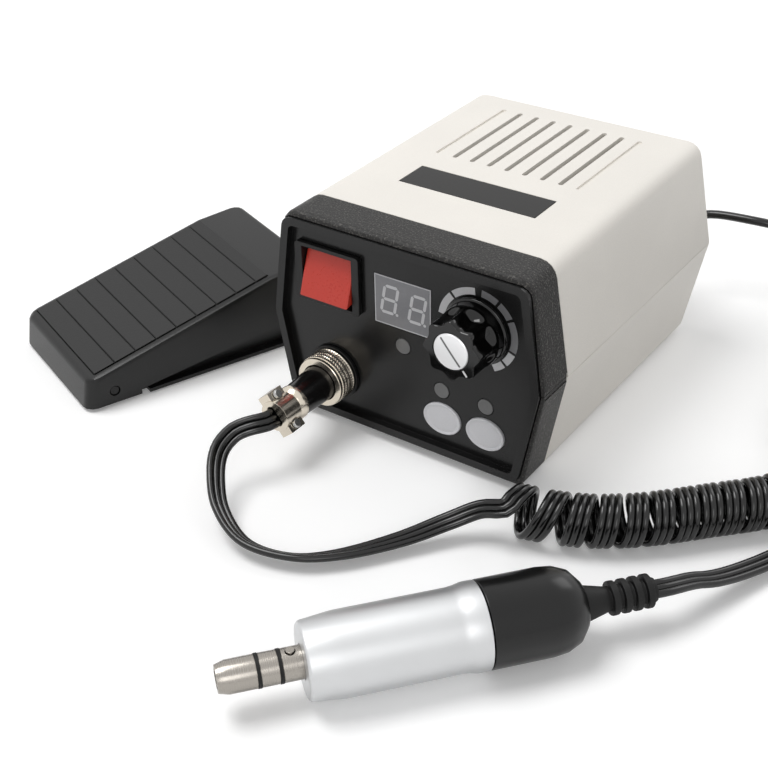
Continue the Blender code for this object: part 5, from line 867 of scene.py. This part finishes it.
class BENCH_OT_cords(Step, bpy.types.Operator):
    """The curly motor cord and the mains cord with its plug"""

    bl_idname = "bench.cords"
    bl_label = "Cords"

    def build(self):
        self.motor_cord()
        self.mains_cord()

    def motor_cord(self):
        centres, outward = motor_cord_points()
        tangent = unit(np.gradient(centres, axis=0))
        outward = unit(outward - tangent * np.sum(outward * tangent, axis=1, keepdims=True))
        across = unit(np.cross(tangent, outward))
        centres = centres + np.array(tuple(BOX_ORIGIN))
        rings = np.stack([centres + across * a + outward * b for a, b in strand_section()], axis=1)
        piece = swept("motor_cord", rings, "bench_set", "cord_black")
        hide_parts("cord_lead_front", "cord_coil", "cord_lead_hand")

    def mains_cord(self):
        sizes = settings().cords
        points = mains_points() + np.array(tuple(BOX_ORIGIN))
        data = bpy.data.curves.new("mains_cord", "CURVE")
        data.dimensions = "3D"
        data.bevel_depth = sizes.mains_radius
        data.bevel_resolution = 4
        data.resolution_u = 3
        data.use_fill_caps = True
        spline = data.splines.new("NURBS")
        spline.points.add(len(points) - 1)
        for knot, place in zip(spline.points, points):
            knot.co = (place[0], place[1], place[2], 1.0)
        spline.order_u = 4
        spline.use_endpoint_u = True
        data.materials.append(finishes()["cord_black"])
        piece = bpy.data.objects.new("mains_cord", data)
        bpy.context.scene.collection.objects.link(piece)
        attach(piece, "bench_set")
        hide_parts("mains_lead", "mains_coil")
        plug = dressed("mains_cord_plug", "mains_plug", "bench_set", "rubber_black", 0.0004)


class BENCH_OT_housing(Step, bpy.types.Operator):
    """Shell halves, bezel, panel, name plate and feet"""

    bl_idname = "bench.housing"
    bl_label = "Housing"

    def build(self):
        dressed("housing_top", "upper_shell", "bench_set", "shell_white", 0.0003)
        dressed("housing_base", "lower_shell", "bench_set", "shell_white", 0.0003)
        dressed("bezel_top", "bezel_upper", "bench_set", "bezel_black", 0.0002)
        dressed("bezel_base", "bezel_lower", "bench_set", "bezel_black", 0.0002)
        dressed("panel_face", "front_panel", "bench_set", "panel_black", 0.0004)
        dressed("top_plate", "name_plate", "bench_set", "plate_dark", 0.0001)
        for number in range(1, 5):
            dressed(f"box_foot_{number}", f"foot_{number}", "bench_set", "rubber_black", 0.0004)


class BENCH_OT_switch(Step, bpy.types.Operator):
    """Mains switch and its tilting rocker"""

    bl_idname = "bench.switch"
    bl_label = "Switch"

    def build(self):
        dressed("switch_frame", "switch_body", "bench_set", "switch_black", 0.0004)
        dressed("switch_paddle", "switch_rocker", "rocker", "rocker_red", 0.0005)


DIGIT_SIZE = (0.0058, 0.0110)
DIGIT_BAR = 0.0012
DIGIT_SLANT = 0.17
BAR_GAP = 0.00022
DOT_GAP, DOT_RADIUS, DOT_STEPS = 0.0012, 0.0006, 12
WINDOW_LEFT, WINDOW_RIGHT, WINDOW_LOW, WINDOW_HIGH = -0.0128, 0.0117, 0.0517, 0.0718
WINDOW_LINE = 0.0004
DIGIT_SPOTS = ((-0.0062, 0.0624), (0.0059, 0.0618))
PANEL_Y = 0.0018


class BENCH_OT_display(Step, bpy.types.Operator):
    """Display window with its two unlit digits"""

    bl_idname = "bench.display"
    bl_label = "Display"

    def build(self):
        dressed("display_pane", "display_window", "bench_set", "window_grey")
        self.digits()
        self.border()

    def digits(self):
        bm = bmesh.new()
        wide, tall = DIGIT_SIZE
        for x, z in DIGIT_SPOTS:
            place = facing(x, PANEL_Y, z)
            for start, end in self.bars(wide * HALF, tall * HALF):
                flat_shape(bm, self.bar(start, end), place, SKIN)
            dot = Vector((wide * HALF + DOT_GAP - DIGIT_SLANT * tall * HALF, -tall * HALF))
            angles = [FULL_TURN * k / DOT_STEPS for k in range(DOT_STEPS)]
            rim = [dot + DOT_RADIUS * Vector((math.cos(a), math.sin(a))) for a in angles]
            flat_shape(bm, rim, place, SKIN)
        piece = shown("display_digits", bm, "bench_set", "digit_grey")

    def bars(self, half_wide, half_tall):
        corners = ((-1, 1), (1, 1), (1, 0), (1, -1), (-1, -1), (-1, 0))
        spots = [(x * half_wide + y * half_tall * DIGIT_SLANT, y * half_tall) for x, y in corners]
        return list(zip(spots, spots[1:] + spots[:1])) + [(spots[5], spots[2])]

    def bar(self, start, end):
        """A pointed bar between two corners of a digit."""
        start, end = Vector(start), Vector(end)
        course = (end - start).normalized()
        side = Vector((-course.y, course.x)) * DIGIT_BAR * HALF
        point = course * DIGIT_BAR * HALF
        start, end = start + course * BAR_GAP, end - course * BAR_GAP
        return (
            start, start + point - side, end - point - side, end, end - point + side, start + point + side
        )

    def border(self):
        bm = bmesh.new()
        left, right, low, high, line = WINDOW_LEFT, WINDOW_RIGHT, WINDOW_LOW, WINDOW_HIGH, WINDOW_LINE
        place = facing(0, PANEL_Y, 0)
        for a, b, c, d in (
            (left, right, high - line, high),
            (left, right, low, low + line),
            (left, left + line, low + line, high - line),
            (right - line, right, low + line, high - line),
        ):
            flat_shape(bm, ((a, c), (b, c), (b, d), (a, d)), place, SKIN)
        piece = shown("display_border", bm, "bench_set", "digit_grey")


# The knob's heights stand above the panel
KNOB_BORE, KNOB_BACK, KNOB_FRONT = 0.0032, 0.0008, 0.0176
SKIRT_RADIUS, SKIRT_HEIGHT, SKIRT_EDGE = 0.0131, 0.0018, 0.0002
COLLAR_OVER, COLLAR_HEIGHT = 0.0004, 0.0050
TAPER_START, TAPER_RISE, TAPER_STEPS = 0.0064, 0.0034, 8
SEAT_RADIUS, SEAT_FLOOR = 0.0073, 0.0171
LOBE_INNER_RADIUS, LOBE_START, LOBE_EASE_START = 0.0090, 0.0060, 0.0062
LOBE_TURN = math.radians(8)
LOBE_SHARPNESS = 0.8
POINTER_INNER, POINTER_OUTER, POINTER_HALF = 0.0078, 0.0104, 0.0004
POINTER_HEIGHT = 0.01758
CAP_RADIUS, CAP_BACK = 0.0070, 0.0172

# The scale's rim and its segments: start and end in degrees, and 1 for the light tone
SCALE_INNER, SCALE_OUTER = 0.0137, 0.01645
SCALE_STEP_DEGREES, SCALE_LEAST_STEPS = 3, 4
SCALE_STEPS = (
    (172, 136, 1), (132, 95, 1), (85, 60, 0), (56, 32.5, 0), (28.5, -17, 0), (-21, -41, 1), (-45, -63, 1),
)


class BENCH_OT_knob(Step, bpy.types.Operator):
    """Speed knob, its cap and the scale round it"""

    bl_idname = "bench.knob"
    bl_label = "Speed knob"

    def build(self):
        self.grip()
        self.pointer()
        self.cap()
        self.scale()

    def grip(self):
        sizes = settings().knob
        reach = sizes.grip_radius
        collar = reach + COLLAR_OVER
        bm = bmesh.new()
        profile = [
            (KNOB_BORE, KNOB_BACK), (SKIRT_RADIUS - SKIRT_EDGE, KNOB_BACK),
            (SKIRT_RADIUS, KNOB_BACK + SKIRT_EDGE), (SKIRT_RADIUS, SKIRT_HEIGHT),
            (SKIRT_RADIUS - SKIRT_EDGE, 0.0021), (collar + SKIRT_EDGE, 0.0023),
            (collar, 0.0027), (collar, COLLAR_HEIGHT),
        ]
        for k in range(TAPER_STEPS + 1):
            share = k / TAPER_STEPS
            profile.append((collar - COLLAR_OVER * share, TAPER_START + TAPER_RISE * share))
        profile += [
            (reach, 0.0120), (reach, 0.0150), (reach, SEAT_FLOOR), (reach - 0.0001, 0.0174),
            (reach - 0.0003, KNOB_FRONT), (SEAT_RADIUS + 0.0001, KNOB_FRONT),
            (SEAT_RADIUS, KNOB_FRONT - 0.0001), (SEAT_RADIUS, SEAT_FLOOR),
            (KNOB_BORE, SEAT_FLOOR), (KNOB_BORE, KNOB_BACK),
        ]
        turned(bm, profile, Matrix.Identity(4), FINE_STEPS)
        for vert in bm.verts:
            out = math.hypot(vert.co.x, vert.co.y)
            if out < LOBE_INNER_RADIUS or vert.co.z < LOBE_START:
                continue
            angle = math.atan2(vert.co.y, vert.co.x) - POINTER_TURN - LOBE_TURN
            wave = HALF - HALF * math.cos(sizes.lobes * angle)
            rise = float(eased((vert.co.z - LOBE_EASE_START) / TAPER_RISE))
            cut = sizes.flute_depth * wave**LOBE_SHARPNESS * rise
            vert.co.xy = vert.co.xy * ((out - cut) / out)
        bmesh.ops.transform(bm, matrix=facing(KNOB_X, PANEL_Y, KNOB_Z), verts=bm.verts)
        bmesh.ops.recalc_face_normals(bm, faces=bm.faces)
        piece = shown("knob_grip", bm, "speed_dial", "knob_black", smooth=math.radians(40))
        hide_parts("speed_knob")

    def pointer(self):
        bm = bmesh.new()
        out = Vector((math.cos(POINTER_TURN), math.sin(POINTER_TURN)))
        side = Vector((-out.y, out.x)) * POINTER_HALF
        inner, outer = out * POINTER_INNER, out * POINTER_OUTER
        corners = (inner - side, outer - side, outer + side, inner + side)
        flat_shape(bm, corners, facing(KNOB_X, PANEL_Y - POINTER_HEIGHT, KNOB_Z), SKIN * 2)
        piece = shown("knob_pointer", bm, "speed_dial", "mark_white")

    def cap(self):
        bm = bmesh.new()
        profile = [
            (0, 0.01795), (0.0030, 0.01794), (0.0058, 0.01788), (CAP_RADIUS - 0.0003, 0.0178),
            (CAP_RADIUS, 0.0175), (CAP_RADIUS, CAP_BACK), (0, CAP_BACK),
        ]
        turned(bm, profile, facing(KNOB_X, PANEL_Y, KNOB_Z))
        piece = shown("knob_badge", bm, "speed_dial", "cap_silver")
        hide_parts("knob_cap")

    def scale(self):
        bm = bmesh.new()
        place = facing(KNOB_X, PANEL_Y, KNOB_Z)
        for start, end, light in SCALE_STEPS:
            count = max(SCALE_LEAST_STEPS, round(abs(start - end) / SCALE_STEP_DEGREES))
            angles = [math.radians(start + (end - start) * k / count) for k in range(count + 1)]
            outer = [(SCALE_OUTER * math.cos(a), SCALE_OUTER * math.sin(a)) for a in angles]
            inner = [(SCALE_INNER * math.cos(a), SCALE_INNER * math.sin(a)) for a in angles[::-1]]
            flat_shape(bm, outer + inner, place, SKIN, 0 if light else 1)
        piece = shown("speed_scale", bm, "bench_set", "scale_light", "scale_mid")


BUTTONS = (("button_left", "left_button", 0.0170), ("button_right", "right_button", 0.0357))
BUTTON_Z = 0.0189
BUTTON_HALF = (0.0081, 0.0066)
BUTTON_BACK = -0.0021
STEM_RADIUS, STEM_END, STEM_STEPS = 0.0016, -0.0084, 24


class BENCH_OT_buttons(Step, bpy.types.Operator):
    """Oval push buttons and round lamps"""

    bl_idname = "bench.buttons"
    bl_label = "Buttons and lamps"

    def build(self):
        for node, body, x in BUTTONS:
            self.button(node, body, x)
        for number in range(1, 4):
            dressed(f"panel_lamp_{number}", f"lamp_{number}", "bench_set", "lamp_grey", 0.0001)

    def button(self, node, body, x):
        bm = bmesh.new()
        reach = BUTTON_HALF[0]
        profile = [
            (0, 0.00080), (0.0030, 0.00078), (0.0055, 0.00072), (0.0064, 0.00068), (0.0067, 0.00060),
            (0.0070, 0.00070), (0.0074, 0.00090), (reach - 0.0002, 0.00086), (reach, 0.00066),
            (reach, BUTTON_BACK), (0, BUTTON_BACK),
        ]
        squeeze = Matrix.Diagonal((1, BUTTON_HALF[1] / BUTTON_HALF[0], 1, 1))
        turned(bm, profile, facing(x, PANEL_Y, BUTTON_Z) @ squeeze)
        stem = [(0, BUTTON_BACK), (STEM_RADIUS, BUTTON_BACK), (STEM_RADIUS, STEM_END), (0, STEM_END)]
        turned(bm, stem, facing(x, PANEL_Y, BUTTON_Z), STEM_STEPS)
        piece = shown(f"{node}_face", bm, body, "button_grey")
        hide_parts(node)


PLUG_X, PLUG_Z = -0.0325, 0.0227
RING_BORE, RING_LIP, RING_RADIUS = 0.0077, 0.0101, 0.0105
KNURL_ROWS, KNURL_TEETH, KNURL_RISE = 14, 60, 5200
KNURL_DEPTH = 0.00040
KNURL_LEAST_RADIUS, KNURL_START = 0.01045, 0.0006


class BENCH_OT_connector(Step, bpy.types.Operator):
    """Round connector, knurled ring, sleeve, collar and cord clamp"""

    bl_idname = "bench.connector"
    bl_label = "Connector"

    def build(self):
        dressed("socket_flange", "motor_jack", "bench_set", "switch_black", 0.0002)
        dressed("socket_nut", "jack_nut", "bench_set", "nickel", 0.0002)
        self.ring()
        dressed("plug_barrel", "plug_sleeve", "bench_set", "plug_black", 0.0002)
        dressed("plug_band", "plug_collar", "bench_set", "nickel", 0.0002)
        dressed("cord_saddle", "cord_clamp", "bench_set", "nickel", 0.0003)
        for number in (1, 2):
            dressed(f"saddle_screw_{number}", f"clamp_screw_{number}", "bench_set", "steel", 0.0001)

    def ring(self):
        bm = bmesh.new()
        low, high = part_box("coupling_ring")
        front, back = BOX_ORIGIN.y - low.y, BOX_ORIGIN.y - high.y
        rise = (front - 0.0022 - back) / KNURL_ROWS
        knurl = [(RING_RADIUS, back + 0.0004 + rise * k) for k in range(KNURL_ROWS + 1)]
        profile = (
            [(RING_BORE, back), (RING_LIP, back), (RING_RADIUS, back + 0.0003)] + knurl
            + [(RING_LIP - 0.0001, front - 0.0016), (RING_LIP, front - 0.0014), (RING_LIP, front - 0.0002)]
            + [(RING_LIP - 0.0002, front), (RING_BORE, front), (RING_BORE, back)]
        )
        turned(bm, profile, Matrix.Identity(4), FINE_STEPS)
        for vert in bm.verts:
            out = math.hypot(vert.co.x, vert.co.y)
            if out < KNURL_LEAST_RADIUS or vert.co.z < back + KNURL_START:
                continue
            angle = math.atan2(vert.co.y, vert.co.x) * KNURL_TEETH
            climb = (vert.co.z - back) * KNURL_RISE
            ridge = abs(math.sin((angle + climb) * HALF)) * abs(math.sin((angle - climb) * HALF))
            vert.co.xy = vert.co.xy * ((out - KNURL_DEPTH * (1 - ridge)) / out)
        bmesh.ops.transform(bm, matrix=facing(PLUG_X, 0, PLUG_Z), verts=bm.verts)
        bmesh.ops.recalc_face_normals(bm, faces=bm.faces)
        piece = shown("knurled_ring", bm, "plug_ring", "nickel", smooth=math.radians(25))
        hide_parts("coupling_ring")


class BENCH_OT_rear(Step, bpy.types.Operator):
    """Strain relief, fuse holder and pedal socket on the rear wall"""

    bl_idname = "bench.rear"
    bl_label = "Rear fittings"

    def build(self):
        dressed("mains_relief", "mains_gland", "bench_set", "rubber_black", 0.0002)
        dressed("fuse_body", "fuse_holder", "bench_set", "switch_black", 0.0002)
        dressed("fuse_knob", "fuse_cap", "fuse_top", "switch_black", 0.0002)
        dressed("pedal_jack", "pedal_socket", "bench_set", "nickel", 0.0002)


class BENCH_OT_pedal(Step, bpy.types.Operator):
    """Foot pedal: tread, ribbed mat, base and pin"""

    bl_idname = "bench.pedal"
    bl_label = "Foot pedal"

    def build(self):
        dressed("pedal_top", "pedal_tread", "treadle", "pedal_black", 0.0004)
        dressed("pedal_mat", "pedal_pad", "treadle", "pad_black", 0.0003)
        dressed("pedal_tray", "pedal_base", "bench_set", "pedal_black", 0.0004)
        dressed("pedal_axle", "pedal_pin", "bench_set", "switch_black", 0.0003)
        dressed("pedal_relief", "pedal_gland", "bench_set", "rubber_black", 0.0002)


class BENCH_OT_handpiece(Step, bpy.types.Operator):
    """Motor handpiece: nose, seals, sleeve, tail and ribbed boot"""

    bl_idname = "bench.handpiece"
    bl_label = "Handpiece"

    def build(self):
        dressed("hand_nose", "motor_nose", "bench_set", "nose_steel", 0.0001)
        dressed("hand_seal_front", "seal_front", "bench_set", "rubber_black")
        dressed("hand_seal_rear", "seal_rear", "bench_set", "rubber_black")
        dressed("hand_sleeve", "motor_sleeve", "bench_set", "satin_aluminium", 0.0004)
        dressed("hand_tail", "motor_tail", "bench_set", "tail_black", 0.0004)
        dressed("hand_boot", "cord_boot", "bench_set", "rubber_black", 0.0003)
        dressed("hand_key", "latch_key", "nose_key", "nose_steel", 0.0001)


class BENCH_OT_inside(Step, bpy.types.Operator):
    """Finishes for the parts that stay as the frame has them"""

    bl_idname = "bench.inside"
    bl_label = "Inner parts"

    def build(self):
        for name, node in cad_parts.items():
            finish = finishes().get(slot_of(name))
            if finish is None:
                raise RuntimeError(f"no finish for {name}")
            for slot in node.material_slots:
                slot.material = finish


OPERATORS = (
    BENCH_OT_stage,
    BENCH_OT_cords,
    BENCH_OT_housing,
    BENCH_OT_switch,
    BENCH_OT_display,
    BENCH_OT_knob,
    BENCH_OT_buttons,
    BENCH_OT_connector,
    BENCH_OT_rear,
    BENCH_OT_pedal,
    BENCH_OT_handpiece,
    BENCH_OT_inside,
)


class BENCH_PT_set(bpy.types.Panel):
    """The set's pieces and sizes in the sidebar"""

    bl_idname = "BENCH_PT_set"
    bl_label = "Bench micromotor set"
    bl_space_type = "VIEW_3D"
    bl_region_type = "UI"
    bl_category = "Micromotor"

    def draw(self, context):
        for operator in OPERATORS:
            self.layout.operator(operator.bl_idname)
        groups = context.scene.bench_set
        for group in (groups.cords, groups.knob, groups.stage, groups.colours):
            for name in group.bl_rna.properties.keys():
                if name not in ("rna_type", "name"):
                    self.layout.prop(group, name)


CLASSES = (BenchColours, CordSizes, KnobSizes, StageSizes, BenchSettings) + OPERATORS + (BENCH_PT_set,)


def register():
    for kind in CLASSES:
        bpy.utils.register_class(kind)
    bpy.types.Scene.bench_set = PointerProperty(type=BenchSettings)


def unregister():
    del bpy.types.Scene.bench_set
    for kind in reversed(CLASSES):
        bpy.utils.unregister_class(kind)


def main():
    register()
    bench = bpy.ops.bench
    bench.stage()
    bench.cords()
    bench.housing()
    bench.switch()
    bench.display()
    bench.knob()
    bench.buttons()
    bench.connector()
    bench.rear()
    bench.pedal()
    bench.handpiece()
    bench.inside()


if __name__ == "__main__":
    main()
